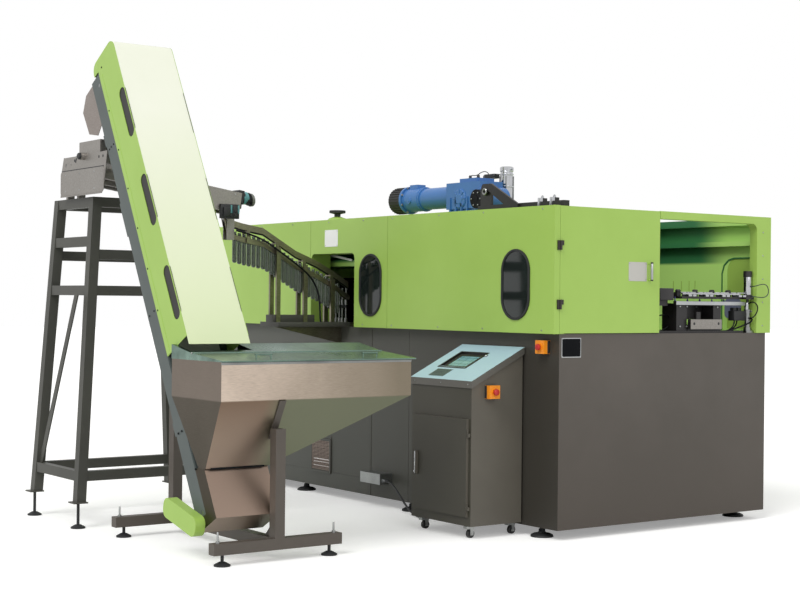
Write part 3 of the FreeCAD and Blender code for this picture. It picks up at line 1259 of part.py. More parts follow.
def wedge(left, right, foot, y0, y1):
    """A solid under a sloping top line, given by its left and right ends, down to a level foot."""
    points = [(left[0], foot), left, right, (right[0], foot), (left[0], foot)]
    wire = Part.makePolygon([FreeCAD.Vector(x, y0, z) for x, z in points])
    return Part.Face(wire).extrude(FreeCAD.Vector(0, y1 - y0, 0))


def lid_handle(y, front, front_z, slope):
    """Bow handle of round bar near the lid's front edge."""
    radius, length, rise, x = 4, 90, 26, front - 45
    z = front_z + slope * (x - front)
    legs = [Part.makeCylinder(radius - 0.5, rise + 1.5, FreeCAD.Vector(x, y + offset, z - 1.5))
            for offset in (0, length)]
    bar = Part.makeCylinder(radius, length + 4 * radius, FreeCAD.Vector(x, y - 2 * radius, z + rise),
                            FreeCAD.Vector(0, 1, 0))
    return bar.fuse(legs)


def funnel_x(z):
    """Outer face of the funnel's front wall at a height."""
    s = size
    part = (z - s["mouth_height"]) / (s["hopper_low"] - s["mouth_height"])
    return -s["mouth_front"] + part * (s["mouth_front"] - s["hopper_front"])


def hopper_frame():
    """Floor frame of square tube: two cross bars, a long beam, the front post and the slanted rear post."""
    half, top = "tube/2", "frame_low + tube"
    bars = [box("-%s - %s" % (x, half), "-frame_near", "frame_low", "tube", "frame_near - frame_far", "tube")
            for x in ("frame_front", "frame_rear")]
    beam = box("-frame_rear", "-frame_beam_y - %s" % half, "frame_low", "frame_rear - frame_front",
               "tube", "tube")
    post = box("-frame_front - %s" % half, "-frame_beam_y - %s" % half, top, "tube", "tube",
               "post_top - frame_low - tube")
    left, right = "-frame_rear - %s" % half, "-frame_rear + %s" % half
    rear = plate("XZ", "-frame_beam_y - %s" % half, "tube", [
        (left, "frame_low"), (right, "frame_low"), (right, slanted_z(right, "-12 - free_gap")),
        (left, slanted_z(left, "-12 - free_gap"))])
    gussets = [gusset("-frame_front - %s" % half, -1), gusset("-frame_rear + %s" % half, 1)]
    node("hopper_frame", fuse(*bars, beam, post, rear, *gussets), strut())


def slanted_z(x, across):
    """Height of the plane at a distance across the elevator, over a point of the floor frame."""
    reach = "((%s) + elevator_foot_x)*cos(elevator_tilt)" % x
    return "elevator_foot_z + ((%s) - %s)/sin(elevator_tilt)" % (across, reach)


def gusset(x, way):
    """Three-cornered plate between the long beam and a post."""
    top = "frame_low + tube"
    points = [(x, top), ("%s + %d*90" % (x, way), top), (x, top + " + 90")]
    return plate("XZ", "-frame_beam_y - 4", "8", points)


def strut():
    """Folded strip from the front post up the funnel's front wall to the skirt."""
    s = size
    low, high = s["post_top"] - 60, s["hopper_low"] - 6
    gap, thick = s["free_gap"], 8
    post_face = -s["frame_front"] - s["tube"] / 2
    points = [(funnel_x(low) + gap, low), (funnel_x(high) + gap, high), (funnel_x(high) + gap + thick, high),
              (funnel_x(low) + gap + thick, low), (funnel_x(low) + gap, low)]
    wire = Part.makePolygon([FreeCAD.Vector(x, -s["frame_beam_y"] - 20, z) for x, z in points])
    flat = Part.Face(wire).extrude(FreeCAD.Vector(0, 40, 0))
    post = block(post_face, post_face + s["tube"], -s["frame_beam_y"] - s["tube"] / 2,
                 -s["frame_beam_y"] + s["tube"] / 2, 0, s["post_top"])
    return shaped("Strut", flat.cut(post))


# ---------------------------------------------------------------- stand and sorter

def stand_frame():
    """Four leaning legs of square tube with rungs, braces and rails, and four foot gussets."""
    s = size
    side = s["tube"]
    solids = []
    legs = {}
    for x_name, way_x in (("stand_left", 1), ("stand_right", -1)):
        for y_name, way_y in (("stand_near", 1), ("stand_far", -1)):
            foot = (-s[x_name], -s[y_name])
            legs[(x_name, y_name)] = (foot, way_x, way_y)
            low = corner_square(foot, way_x, way_y, s["stand_low"])
            high = corner_square(foot, way_x, way_y, s["stand_top"])
            solids.append(hull_between(low, high))
            x, y = foot
            plate_low = s["stand_low"]
            solids.append(block(x - 45, x + 45, y - 45, y + 45, plate_low, plate_low + 8))
    for level, names in ((s["stand_top"] - side, "xy"), (s["rung_middle"], "xy"), (s["rung_upper"], "x"),
                         (s["rung_low"], "xy"), (s["rung_side"], "y")):
        solids += ring_of_rungs(legs, level, names)
    solids += [brace(legs, near) for near in ("stand_near", "stand_far")]
    frame = solids[0]
    frame = frame.fuse(solids[1:]).removeSplitter()
    node("stand_frame", shaped("Stand", frame))


def corner_square(foot, way_x, way_y, z):
    """Outline of a leg at a height; the legs lean towards each other as they rise."""
    share = z / size["stand_top"]
    half = size["tube"] / 2
    x = foot[0] + way_x * size["stand_lean"] * share * 0.8
    y = foot[1] + way_y * size["stand_lean"] * share * 1.4
    return (x - half, x + half, y - half, y + half, z)


def ring_of_rungs(legs, level, names):
    """Level tubes between the legs along X, along Y or both."""
    side = size["tube"]
    squares = {key: corner_square(*leg, level) for key, leg in legs.items()}
    rungs = []
    if "x" in names:
        for y_name in ("stand_near", "stand_far"):
            left, right = squares[("stand_left", y_name)], squares[("stand_right", y_name)]
            rungs.append(block(left[0] + side / 2, right[1] - side / 2, left[2] + 6, left[3] - 6,
                               level, level + side))
    if "y" in names:
        for x_name in ("stand_left", "stand_right"):
            near, far = squares[(x_name, "stand_near")], squares[(x_name, "stand_far")]
            rungs.append(block(near[0] + 6, near[1] - 6, near[2] + side / 2, far[3] - side / 2,
                               level, level + side))
    return rungs


def brace(legs, y_name):
    """Slanting flat between the low and the middle rung of one side."""
    foot, top = size["rung_low"], size["rung_middle"]
    left = corner_square(*legs[("stand_left", y_name)], foot)
    right = corner_square(*legs[("stand_right", y_name)], top)
    y = (left[2] + left[3]) / 2
    low = (left[1] - 10, left[1] + 40, y - 4, y + 4, foot + size["tube"] - 2)
    high = (right[0] - 40, right[0] + 10, y - 4, y + 4, top + 2)
    return hull_between(low, high)


def sorter_place(across, down, up):
    """A point in the sorter's tilted coordinates, in machine coordinates."""
    tilt = math.radians(size["sorter_tilt"])
    y = -size["sorter_y"] + down * math.cos(tilt) + up * math.sin(tilt)
    z = size["stand_top"] + size["sorter_lift"] - down * math.sin(tilt) + up * math.cos(tilt)
    return FreeCAD.Vector(-size["sorter_x"] + across, y, z)


def sorter_block(x0, x1, down0, down1, up0, up1):
    """A block in the sorter's tilted coordinates."""
    made = block(x0, x1, down0, down1, up0, up1)
    made.Placement = FreeCAD.Placement(sorter_place(0, 0, 0),
                                       FreeCAD.Rotation(FreeCAD.Vector(1, 0, 0), -size["sorter_tilt"]))
    return made


def sorter_housing():
    """Tilted trough for the rollers, the hopper tray beside it, the end plate and the box above it."""
    s, wall = size, size["sorter_sheet"]
    half, length, tall = s["trough_half"], s["sorter_length"], s["trough_height"]
    trough = [sorter_block(x, x + wall, 0, length, 0, tall) for x in (-half - wall, half)]
    ends = [cut_bores(sorter_block(-half, half, down, down + 12, 0, tall - 2)) for down in (0, length - 12)]
    lid = sorter_block(-half - wall, half + wall, length - s["trough_lid"], length, tall, tall + wall)
    rails = [sorter_block(x, x + 30, 0, length, -24, 0) for x in (-half - 4, half - 26)]
    body = trough[0].fuse(trough[1:] + ends + [lid] + rails)
    body = body.fuse([sorter_tray()] + chute_hangers())
    housing = shaped("Housing", body.fuse(sorter_packers()).removeSplitter())
    node("sorter_housing", fuse(housing, sorter_plate()))


def chute_hangers():
    """Two flats under the trough's lower end that hold the upper end of the chute between them."""
    s = size
    x, near = -s["sorter_x"], s["rail_gap"] + s["rail_width"] + s["free_gap"]
    far, y = near + 6, -s["chute_start"] + 25
    return [block(x0, x1, y, y + 56, s["chute_high"] - 30, s["chute_high"] + 190)
            for x0, x1 in ((x - far, x - near), (x + near, x + far))]


def cut_bores(end):
    """An end wall of the trough, bored for both roller shafts."""
    for across in roller_offsets():
        axis = sorter_place(across, -50, size["roller_up"])
        way = sorter_place(across, 50, size["roller_up"]) - axis
        end = end.cut(Part.makeCylinder(10 + size["running"], size["sorter_length"] + 200, axis, way))
    return end


def roller_offsets():
    half = size["sorter_gap"] / 2 + size["sorter_roller"]
    return (-half, half)


def sorter_tray():
    """Shallow tray that catches the preforms beside the trough, its floor falling towards the rollers."""
    s, wall = size, size["sorter_sheet"]
    left = s["trough_half"] + wall
    right = s["sorter_x"] - s["sorter_plate_right"] - 12
    floor = sorter_block(left, right, 12, s["tray_length"], 40, 40 + wall)
    side = sorter_block(right - wall, right, 12, s["tray_length"], 40, 100)
    back = sorter_block(left, right, s["tray_length"] - wall, s["tray_length"], 40, 100)
    prop = sorter_block(left + 120, left + 160, 60, s["tray_length"] - 60, -10, 40)
    return floor.fuse([side, back, prop])


def sorter_packers():
    """Blocks that carry the tilted trough on the stand's level top rungs."""
    s = size
    made = []
    for y_name, way in (("stand_near", 1), ("stand_far", -1)):
        square = corner_square((-s["stand_left"], -s[y_name]), 1, way, s["stand_top"] - s["tube"])
        y0, y1 = square[2] + 8, square[3] - 8
        down = s["sorter_y"] + (y0 + y1) / 2
        top = sorter_place(0, down, -20).z
        for x in (-s["sorter_x"] - s["trough_half"] - 4, -s["sorter_x"] + s["trough_half"] - 26):
            made.append(block(x, x + 30, y0, y1, s["stand_top"], top))
    return made


def sorter_plate():
    """Upright end plate with a chamfered lower corner, the strip above it and the box on top."""
    y = "-sorter_y - sorter_sheet"
    left, right = "-sorter_plate_left", "-sorter_plate_right"
    low = "stand_top + 10"
    main = plate("XZ", y, "sorter_sheet", [
        (left, low), (right + " - 30", low), (right, low + " + 34"), (right + " + 30", low + " + 160"),
        (left + " + 60", low + " + 160"), (left + " + 40", low + " + 150")])
    strip = plate("XZ", y, "sorter_sheet", [
        (left + " + 150", low + " + 159"), (right + " + 28", low + " + 159"), (right + " + 46", low + " + 250"),
        (left + " + 172", low + " + 238")])
    case = box(left + " + 270", "-sorter_y", low + " + 235", "300", "120", "90")
    knob = rod("Y", left + " + 350", y + " - 26", low + " + 236", "22", "30")
    return fuse(main, strip, case, knob)


def sorter_rollers():
    """Two parallel rollers that turn against each other; the preforms hang between them by their rings."""
    s = size
    for label, across in zip(("sorter_roller_left", "sorter_roller_right"), roller_offsets()):
        start = sorter_place(across, 14, s["roller_up"])
        way = sorter_place(across, 15, s["roller_up"]) - start
        drum = Part.makeCylinder(s["sorter_roller"], s["sorter_length"] - 28, start, way)
        shaft = Part.makeCylinder(10, s["sorter_length"] - 4, sorter_place(across, 2, s["roller_up"]), way)
        node(label, shaped("Roller", drum.fuse(shaft)))


def sorter_motor():
    """Small gear motor at the lower end of the trough."""
    s = size
    start = sorter_place(0, s["sorter_length"], s["roller_up"])
    way = sorter_place(0, s["sorter_length"] + 1, s["roller_up"]) - start
    case = sorter_block(-55, 55, s["sorter_length"], s["sorter_length"] + 40, 60, 140)
    body = Part.makeCylinder(40, 90, sorter_place(0, s["sorter_length"] + 38, 100), way)
    bracket = sorter_block(-40, 40, s["sorter_length"], s["sorter_length"] + 40, 20, 62)
    node("sorter_motor", shaped("Motor", body.fuse([case, bracket])))


# ---------------------------------------------------------------- chute

def chute_line():
    """Top edge of the chute's rails, from the rollers into the machine: (distance along Y, height)."""
    s = size
    high, start = s["chute_high"], -s["chute_start"]
    return [(start, high + 175), (start + 25, high + 70), (start + 60, high + 12), (-750, high - 10),
            (-587, high - 36), (-327, 1627), (-156, 1563), (-15, 1493), (110, 1420)]


def chute_strip(x0, x1, drop, height):
    """A bar that follows the chute's line, its top a drop below it."""
    line = [(y, z - drop) for y, z in chute_line()]
    under = [(y, z - height) for y, z in reversed(line)]
    points = line + under + line[:1]
    wire = Part.makePolygon([FreeCAD.Vector(x0, y, z) for y, z in points])
    return Part.Face(wire).extrude(FreeCAD.Vector(x1 - x0, 0, 0))


def chute_rails():
    """Two rails on which the preforms hang by their rings, the guard strip above and the clamps."""
    s = size
    x, gap, wide = -s["chute_x"], s["rail_gap"], s["rail_width"]
    left = chute_strip(x - gap - wide, x - gap, 0, s["rail_height"])
    right = chute_strip(x + gap, x + gap + wide, 0, s["rail_height"])
    guard = chute_strip(x - 4, x + 4, -52, -42)
    clamps = []
    for share in (0.25, 0.45, 0.65, 0.85):
        y, z = on_line(share)
        clamps.append(block(x - 34, x + 34, y - 12, y + 12, z + 42, z + 52))
        for x0 in (x - 34, x + 26):
            clamps.append(block(x0, x0 + 8, y - 12, y + 12, z - 30, z + 42))
        clamps.append(block(x - gap - wide - 8, x - gap - wide, y - 12, y + 12, z - 30, z - 16))
        clamps.append(block(x + gap + wide, x + gap + wide + 8, y - 12, y + 12, z - 30, z - 16))
    body = left.fuse([right, guard] + clamps)
    node("chute_rails", shaped("Rails", body.fuse(chute_supports()).removeSplitter()))


def on_line(share):
    """A point on the chute's line at a share of its length."""
    points = chute_line()
    lengths = [math.dist(a, b) for a, b in zip(points, points[1:])]
    left = share * sum(lengths)
    for (a, b), length in zip(zip(points, points[1:]), lengths):
        if left <= length:
            part = left / length
            return a[0] + part * (b[0] - a[0]), a[1] + part * (b[1] - a[1])
        left -= length
    return points[-1]


def rail_height(y):
    """Height of the rails' top at a distance along Y."""
    for (y0, z0), (y1, z1) in zip(chute_line(), chute_line()[1:]):
        if y0 <= y <= y1:
            return z0 + (z1 - z0) * (y - y0) / (y1 - y0)


def chute_preforms():
    """Preforms that hang in a row by their support rings, each tube straight down."""
    s = size
    points = chute_line()
    total = sum(math.dist(a, b) for a, b in zip(points, points[1:]))
    first, last = 215, total - 30
    count = int((last - first) / s["preform_pitch"])
    chord = math.sqrt(s["preform_flange"] ** 2 - s["rail_gap"] ** 2)
    preforms = []
    for number in range(count):
        y = on_line((first + number * s["preform_pitch"]) / total)[0]
        rest = max(rail_height(y + offset) for offset in (-chord, 0, chord))
        preforms.append(preform(-s["chute_x"], y, rest + s["ring_rise"]))
    node("chute_preforms", shaped("Preforms", Part.makeCompound(preforms)))


def preform(x, y, z):
    """Test-tube shaped blank: neck, support ring and body with a round end."""
    s = size
    radius, ring, long_part = s["preform_radius"], s["preform_flange"], s["preform_length"]
    half = [(0, 22), (radius - 1, 22), (radius - 1, 3), (ring, 3), (ring, 0), (radius, 0),
            (radius, radius - long_part), (radius * 0.45, -long_part), (0, -long_part), (0, 22)]
    wire = Part.makePolygon([FreeCAD.Vector(x + r, y, z + height) for r, height in half])
    return Part.Face(wire).revolve(FreeCAD.Vector(x, y, z), FreeCAD.Vector(0, 0, 1), 360)


def chute_supports():
    """Foot plate on the table edge with a gusset, and the posts that hold the rails."""
    s = size
    x = -s["chute_x"]
    foot_low, foot_high = s["table_height"], s["table_height"] + 30
    board = block(x - 120, x + 120, -s["chute_foot_reach"], s["base_inset_front"] + 60, foot_low, foot_high)
    wire = Part.makePolygon([FreeCAD.Vector(x - 6, y, z) for y, z in (
        (-s["chute_foot_reach"] + 30, foot_low), (s["base_inset_front"], foot_low),
        (s["base_inset_front"], foot_low - 120), (-s["chute_foot_reach"] + 30, foot_low))])
    rib = Part.Face(wire).extrude(FreeCAD.Vector(12, 0, 0))
    posts = []
    for y, z in (on_line(0.45), on_line(0.65), on_line(0.85)):
        for side in (-1, 1):
            inner = x + side * 34
            outer = x + side * 52
            posts.append(block(min(inner, outer), max(inner, outer), y - 16, y + 16, foot_high, z + 20))
    return [board, rib] + posts


# ---------------------------------------------------------------- console

CON_LEFT = "-console_right - console_width"


def console_cabinet():
    """Folded cabinet with a sloping mouth, a door opening and the boards under the casters."""
    rise = [("-console_front", "console_low"), ("-console_front + console_depth", "console_low"),
            ("-console_front + console_depth", "console_back_height"), ("-console_front", "console_front_height")]
    body = plate("YZ", CON_LEFT, "console_width", rise)
    wall = "console_sheet"
    room = [("-console_front + " + wall, "console_low + " + wall),
            ("-console_front + console_depth - " + wall, "console_low + " + wall),
            ("-console_front + console_depth - " + wall, "console_back_height + 50"),
            ("-console_front + " + wall, "console_front_height + 50")]
    inside = plate("YZ", CON_LEFT + " + " + wall, "console_width - 2*" + wall, room)
    opening = box(CON_LEFT + " + console_door_margin + 12", "-console_front - 10", "console_door_low + 12",
                  "console_width - 2*console_door_margin - 24", "40", "console_door_high - console_door_low - 24")
    board = box(CON_LEFT + " + 40", "-console_front + console_depth - 30", "200",
                "console_width - 80", "4", "480")
    legs = [box(x, "-console_front + console_depth - 26", "230", "16", "26 - console_sheet", "420")
            for x in (CON_LEFT + " + 60", "-console_right - 76")]
    units = [box(CON_LEFT + " + %d" % left, "-console_front + console_depth - 90", level, wide, "60", tall)
             for left, wide, level, tall in ((70, "180", "520", "110"), (280, "200", "520", "110"),
                                             (70, "410", "330", "120"))]
    node("console_cabinet", fuse(cut(body, inside, opening), board, *legs, *units, *console_hinges()))


def slope_board(start_share, end_share, left_share, right_share, low, thick):
    """A flat board on the console's sloping top, placed by shares of its width and slope."""
    run = "console_depth"
    rise = "(console_back_height - console_front_height)"
    points = []
    for share, level in ((start_share, low), (end_share, low), (end_share, low + thick), (start_share, low + thick)):
        y = "-console_front + %s*%s" % (share, run)
        points.append((y, "console_front_height + %s*%s + %s" % (share, rise, level)))
    x = CON_LEFT + " + %s*console_width" % left_share
    return plate("YZ", x, "console_width*(%s - %s)" % (right_share, left_share), points)


def console_top():
    """Pale sloping top with an overlapping edge, recessed for the screen and the keypad."""
    over = "10"
    low_y, high_y = "-console_front - 8", "-console_front + console_depth + 6"
    slope = "(console_back_height - console_front_height)/console_depth"
    front_z = "console_front_height - 8*" + slope
    back_z = "console_back_height + 6*" + slope
    outer = plate("YZ", CON_LEFT + " - " + over, "console_width + 2*" + over, [
        (low_y, front_z + " - 20"), (high_y, back_z + " - 20"), (high_y, back_z + " + console_top_sheet"),
        (low_y, front_z + " + console_top_sheet")])
    gap = "free_gap"
    room = plate("YZ", CON_LEFT + " - " + gap, "console_width + 2*" + gap, [
        ("-console_front - " + gap, front_z + " - 60"),
        ("-console_front + console_depth + " + gap, front_z + " - 60"),
        ("-console_front + console_depth + " + gap, "console_back_height + " + gap),
        ("-console_front - " + gap, "console_front_height + " + gap)])
    # the screen lies at the foot of a well, whose walls and floor hang under the top
    well = slope_board("0.34", "0.81", "0.163", "0.627", -34, 40)
    hole = slope_board("0.35", "0.80", "0.17", "0.62", -31, 90)
    pad_hole = slope_board("0.08", "0.28", "0.22", "0.47", 18, 60)
    node("console_top", cut(fuse(cut(outer, room), well), hole, pad_hole), *console_display())


def console_display():
    """Touch screen in its recess and the keypad below it."""
    screen = slope_board("0.355", "0.795", "0.175", "0.615", -30.7, 8)
    keypad = slope_board("0.085", "0.275", "0.222", "0.468", 18, 5)
    return screen, keypad


def console_door():
    """Pan door with hinge barrels at its outfeed edge and a raised handle at the other."""
    left, width = CON_LEFT + " + console_door_margin", "console_width - 2*console_door_margin"
    y = "-console_front - 16 - free_gap"
    tall = "console_door_high - console_door_low"
    pan = cut(box(left, y, "console_door_low", width, "16", tall),
              box(left + " + 3", y + " + 3", "console_door_low + 3", width + " - 6", "40", tall + " - 6"))
    handle = box(left + " + 40", y + " - 18", "console_handle_low", "20", "18", "console_handle_length")
    stay = box(left + " + 46", y + " - 6", "console_handle_low + 20", "8", "7", "console_handle_length - 40")
    edge = "-console_right - console_door_margin"
    barrels = [rod("Z", edge + " + 5", y + " + 4", z, "4", "22") for z in hinge_rows()]
    leaves = [box(edge + " - 2", y + " + 2", z, "7", "4", "22") for z in hinge_rows()]
    node("console_door", fuse(pan, handle, stay, *barrels, *leaves))


def hinge_rows():
    return ("console_door_low + 60", "console_door_high - 82")


def console_hinges():
    """Fixed halves of the console door's hinges, under the moving barrels."""
    y = "-console_front - 16 - free_gap"
    x = "-console_right - console_door_margin + 5"
    halves = []
    for z in hinge_rows():
        barrel = rod("Z", x, y + " + 4", z + " - 22 - free_gap", "4", "22")
        leaf = box(x, y + " + 2", z + " - 22 - free_gap", "10", "4", "22")
        foot = box(x + " + 6", y + " + 2", z + " - 22 - free_gap", "4", "14 + free_gap", "22")
        halves.append(fuse(barrel, leaf, foot))
    return halves


CASTERS = [("front_left", 0, 0), ("front_right", 1, 0), ("rear_left", 0, 1), ("rear_right", 1, 1)]


def casters():
    """Four swivel casters: a fork under a plate with its swivel stem, and a wheel on an axle."""
    for name, right, rear in CASTERS:
        x = "-console_right - caster_inset_x" if right else CON_LEFT + " + caster_inset_x"
        y = "-console_front + console_depth - caster_inset_y" if rear else "-console_front + caster_inset_y"
        axle_y = y + " + caster_trail"
        top = "console_low - free_gap"
        crown = box(x + " - 17", y + " - 20", "2*caster_radius + 4", "34", "56", top + " - 2*caster_radius - 10")
        swivel = rod("Z", x, y, top + " - 7", "16", "7")
        cheeks = [box(side, axle_y + " - 10", "caster_radius - 9", "3", "24", "caster_radius + 14")
                  for side in (x + " - 17", x + " + 14")]
        axle = rod("X", x + " - 19", axle_y, "caster_radius", "4", "38")
        node("caster_fork_" + name, fuse(crown, swivel, *cheeks, axle))
        wheel = rod("X", x + " - caster_width/2", axle_y, "caster_radius", "caster_radius", "caster_width")
        hub = rod("X", x + " - 13", axle_y, "caster_radius", "9", "26")
        bore = rod("X", x + " - 20", axle_y, "caster_radius", "4 + running", "40")
        node("caster_wheel_" + name, cut(fuse(wheel, hub), bore))


# ---------------------------------------------------------------- emergency stops

def emergency_stops():
    """A box with a bored collar on the base front, and one on the console's side, each with its button."""
    half, deep, collar = "estop_size/2", "estop_depth", "estop_button + 4"
    base_y = "base_inset_front - estop_depth"
    side_x = "-console_right"
    base_box = box("-estop_base_x - " + half, base_y, "estop_base_z - " + half, "estop_size", deep, "estop_size")
    base_hole = rod("Y", "-estop_base_x", base_y + " - 4", "estop_base_z", "8 + running", "32")
    base_collar = rod("Y", "-estop_base_x", base_y + " - 3", "estop_base_z", collar, "4")
    con_box = box(side_x, "-estop_console_y - " + half, "estop_console_z - " + half, deep,
                  "estop_size", "estop_size")
    con_hole = rod("X", side_x + " + estop_depth - 28", "-estop_console_y", "estop_console_z", "8 + running", "32")
    con_collar = rod("X", side_x + " + estop_depth - 1", "-estop_console_y", "estop_console_z", collar, "4")
    node("estop_boxes", cut(fuse(base_box, base_collar), base_hole), cut(fuse(con_box, con_collar), con_hole))
    rise = "(estop_travel + 3 + free_gap)"
    base_stem = rod("Y", "-estop_base_x", base_y + " - " + rise, "estop_base_z", "8", "22")
    base_head = rod("Y", "-estop_base_x", base_y + " - 12 - " + rise, "estop_base_z", "estop_button", "12")
    node("estop_button_base", fuse(base_stem, base_head))
    con_stem = rod("X", side_x + " + estop_depth - 22 + " + rise, "-estop_console_y", "estop_console_z",
                   "8", "22")
    con_head = rod("X", side_x + " + estop_depth + " + rise, "-estop_console_y", "estop_console_z",
                   "estop_button", "12")
    node("estop_button_console", fuse(con_stem, con_head))


# ---------------------------------------------------------------- cable and hose

# The console cable's route in row coordinates, chosen by hand: out of the outlet's gland, down to the
# floor, along the base and up to the gland in the console's side.
CABLE_ROUTE = [
    (-1429.7, -126, 190), (-1400, -126, 189), (-1356, -128, 178), (-1310, -131, 154), (-1262, -137, 122),
    (-1205, -146, 86), (-1140, -155, 48), (-1070, -163, 20), (-1000, -170, 8), (-925, -178, 8.5),
    (-865, -186, 20), (-823, -193, 50), (-796, -199, 92), (-780, -203, 133), (-757, -205.2, 168),
    (-721.6, -206, 190)]
# The air hose's route, a loop beside the far post of the bay, in row coordinates.
HOSE_ROUTE = [
    (190, 1594, 1500), (209, 1595, 1502), (230, 1606, 1508), (241, 1629, 1515), (243, 1655, 1516), (242, 1680, 1508),
    (240, 1697, 1487), (240, 1698, 1461), (239, 1684, 1440), (235, 1659, 1431), (226, 1631, 1431), (210, 1606, 1435),
    (190, 1595, 1438)]


def cord(route, radius):
    """A tube of straight runs joined by tangent arcs, each as large as its two runs allow."""
    points = [FreeCAD.Vector(*point) for point in route]
    edges = []
    start = points[0]
    radii = []
    for before, corner, after in zip(points, points[1:], points[2:]):
        inward = (before - corner).normalize()
        onward = (after - corner).normalize()
        turn = math.pi - inward.getAngle(onward)
        reach = 0.45 * min((before - corner).Length, (after - corner).Length)
        arc_radius = reach / math.tan(turn / 2)
        first, last = corner + inward * reach, corner + onward * reach
        bisector = (inward + onward).normalize()
        centre = corner + bisector * (arc_radius / math.cos(turn / 2))
        middle = centre - bisector * arc_radius
        edges.append(Part.LineSegment(start, first).toShape())
        edges.append(Part.Arc(first, middle, last).toShape())
        radii.append(round(arc_radius))
        start = last
    edges.append(Part.LineSegment(start, points[-1]).toShape())
    path = Part.Wire(edges)
    section = Part.Wire(Part.makeCircle(radius, points[0], points[1] - points[0]))
    tube = path.makePipeShell([section], True, False)
    expected = math.pi * radius ** 2 * path.Length
    print("cord radii", radii, "length", round(path.Length), "volume share", round(tube.Volume / expected, 4))
    return tube


def row_node(label, *pieces):
    """A sub-part whose solids are already in row coordinates."""
    group = doc.addObject("Part::Compound", "Node")
    group.Links = list(pieces)
    group.Label = label
    NODES.append(group)


def cable_and_glands():
    row_node("console_cable", shaped("Cable", cord(CABLE_ROUTE, size["cable_radius"])))
    row_node("outfeed_hose", shaped("Hose", cord(HOSE_ROUTE, size["hose_radius"])))
    front = size["base_inset_front"] - size["foot_inset_y"]
    x, y, z = CABLE_ROUTE[0]
    wall = x - size["free_gap"] - size["gland_length"]
    outlet = block(wall - 230, wall, y - 30, front, z - 26, z + 44)
    first = gland(wall, y, z, 1)
    x, y, z = CABLE_ROUTE[-1]
    last = gland(size["foot_inset_x"] - size["console_right"] - size["console_width"], y, z, -1)
    row_node("cable_glands", shaped("Outlet", outlet.fuse(first)), shaped("Gland", last))


def gland(x, y, z, way):
    """Cone-shaped gland on a wall, its small end towards the cable."""
    return Part.makeCone(size["gland_radius"], size["cable_radius"] + 2, size["gland_length"],
                         FreeCAD.Vector(x, y, z), FreeCAD.Vector(way, 0, 0))


# ---------------------------------------------------------------- write

def check_and_write():
    doc.recompute()
    faults = [piece.Label for piece in doc.Objects if {"Invalid", "Error"} & set(piece.State)]
    for piece in NODES:
        if piece.Shape.isNull() or not piece.Shape.isValid():
            faults.append(piece.Label)
    if faults:
        raise RuntimeError("failed: " + ", ".join(faults))
    os.makedirs("parts", exist_ok=True)
    for piece in NODES:
        piece.Shape.exportStep("parts/%s.step" % piece.Label)


base_cabinet()
access_panel()
levelling_feet()
front_panels()
window_panes()
end_frame()
rear_panels()
roof_panel()
end_door()
drive_motor()
drive_gearbox()
drive_shaft()
shaft_bracket()
stretch_cylinder()
clamp_frame()
mould_carriers()
stretch_carriage()
oven_unit()
outfeed_base()
lift_cylinder()
gripper_bar()
gripper_jaws()
elevator_frame()
elevator_side_panels()
elevator_cover()
belt_rollers()
elevator_belt()
chain_guard()
discharge_spout()
hopper()
hopper_frame()
stand_frame()
sorter_housing()
sorter_rollers()
sorter_motor()
chute_rails()
chute_preforms()
console_cabinet()
console_top()
console_door()
casters()
emergency_stops()
cable_and_glands()
check_and_write()
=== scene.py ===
from math import atan2, cos, degrees, hypot, radians, sin, tau

import bpy
from mathutils import Matrix, Vector


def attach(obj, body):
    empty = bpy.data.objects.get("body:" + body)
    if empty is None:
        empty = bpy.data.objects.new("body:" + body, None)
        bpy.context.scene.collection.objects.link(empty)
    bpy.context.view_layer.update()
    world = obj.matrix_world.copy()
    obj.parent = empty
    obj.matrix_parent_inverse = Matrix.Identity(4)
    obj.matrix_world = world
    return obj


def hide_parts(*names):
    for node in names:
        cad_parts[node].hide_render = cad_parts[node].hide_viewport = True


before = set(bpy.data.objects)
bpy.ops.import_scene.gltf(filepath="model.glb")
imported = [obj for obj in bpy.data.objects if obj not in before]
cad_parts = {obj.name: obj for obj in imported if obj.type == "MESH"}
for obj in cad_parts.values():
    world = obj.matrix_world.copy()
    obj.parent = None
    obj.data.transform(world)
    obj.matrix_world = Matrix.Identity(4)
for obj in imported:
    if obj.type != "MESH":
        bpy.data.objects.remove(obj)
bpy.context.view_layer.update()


# ---- Camera, floor and light
# The camera stands about nine metres off the outfeed corner at chest height. The floor is a plain pale
# one, the light a soft daylight with one broad lamp from the operator's side.

def linear(code):
    """A colour's sRGB hex code as linear red, green, blue and alpha."""
    parts = [int(code[start:start + 2], 16) / 255 for start in (1, 3, 5)]
    return [part / 12.92 if part <= 0.04045 else ((part + 0.055) / 1.055) ** 2.4 for part in parts] + [1]


def feed(node, inputs):
    """Sets each input of a node to its value, or links it to the socket given for it."""
    for name, value in inputs.items():
        if isinstance(value, bpy.types.NodeSocket):
            node.id_data.links.new(value, node.inputs[name])
        else:
            node.inputs[name].default_value = value


def add(tree, kind, inputs=None, output=0, **properties):
    """Adds a node with its properties and inputs, and gives back one of its outputs."""
    node = tree.nodes.new("ShaderNode" + kind)
    for name, value in properties.items():
        setattr(node, name, value)
    feed(node, inputs or {})
    return node.outputs[output]


def new_material(name):
    """A new material with its node tree and its shader."""
    material = bpy.data.materials.new(name)
    material.use_nodes = True
    return material, material.node_tree, material.node_tree.nodes["Principled BSDF"]


def set_up(name, data):
    """A new object in the scene."""
    piece = bpy.data.objects.new(name, data)
    bpy.context.scene.collection.objects.link(piece)
    return piece


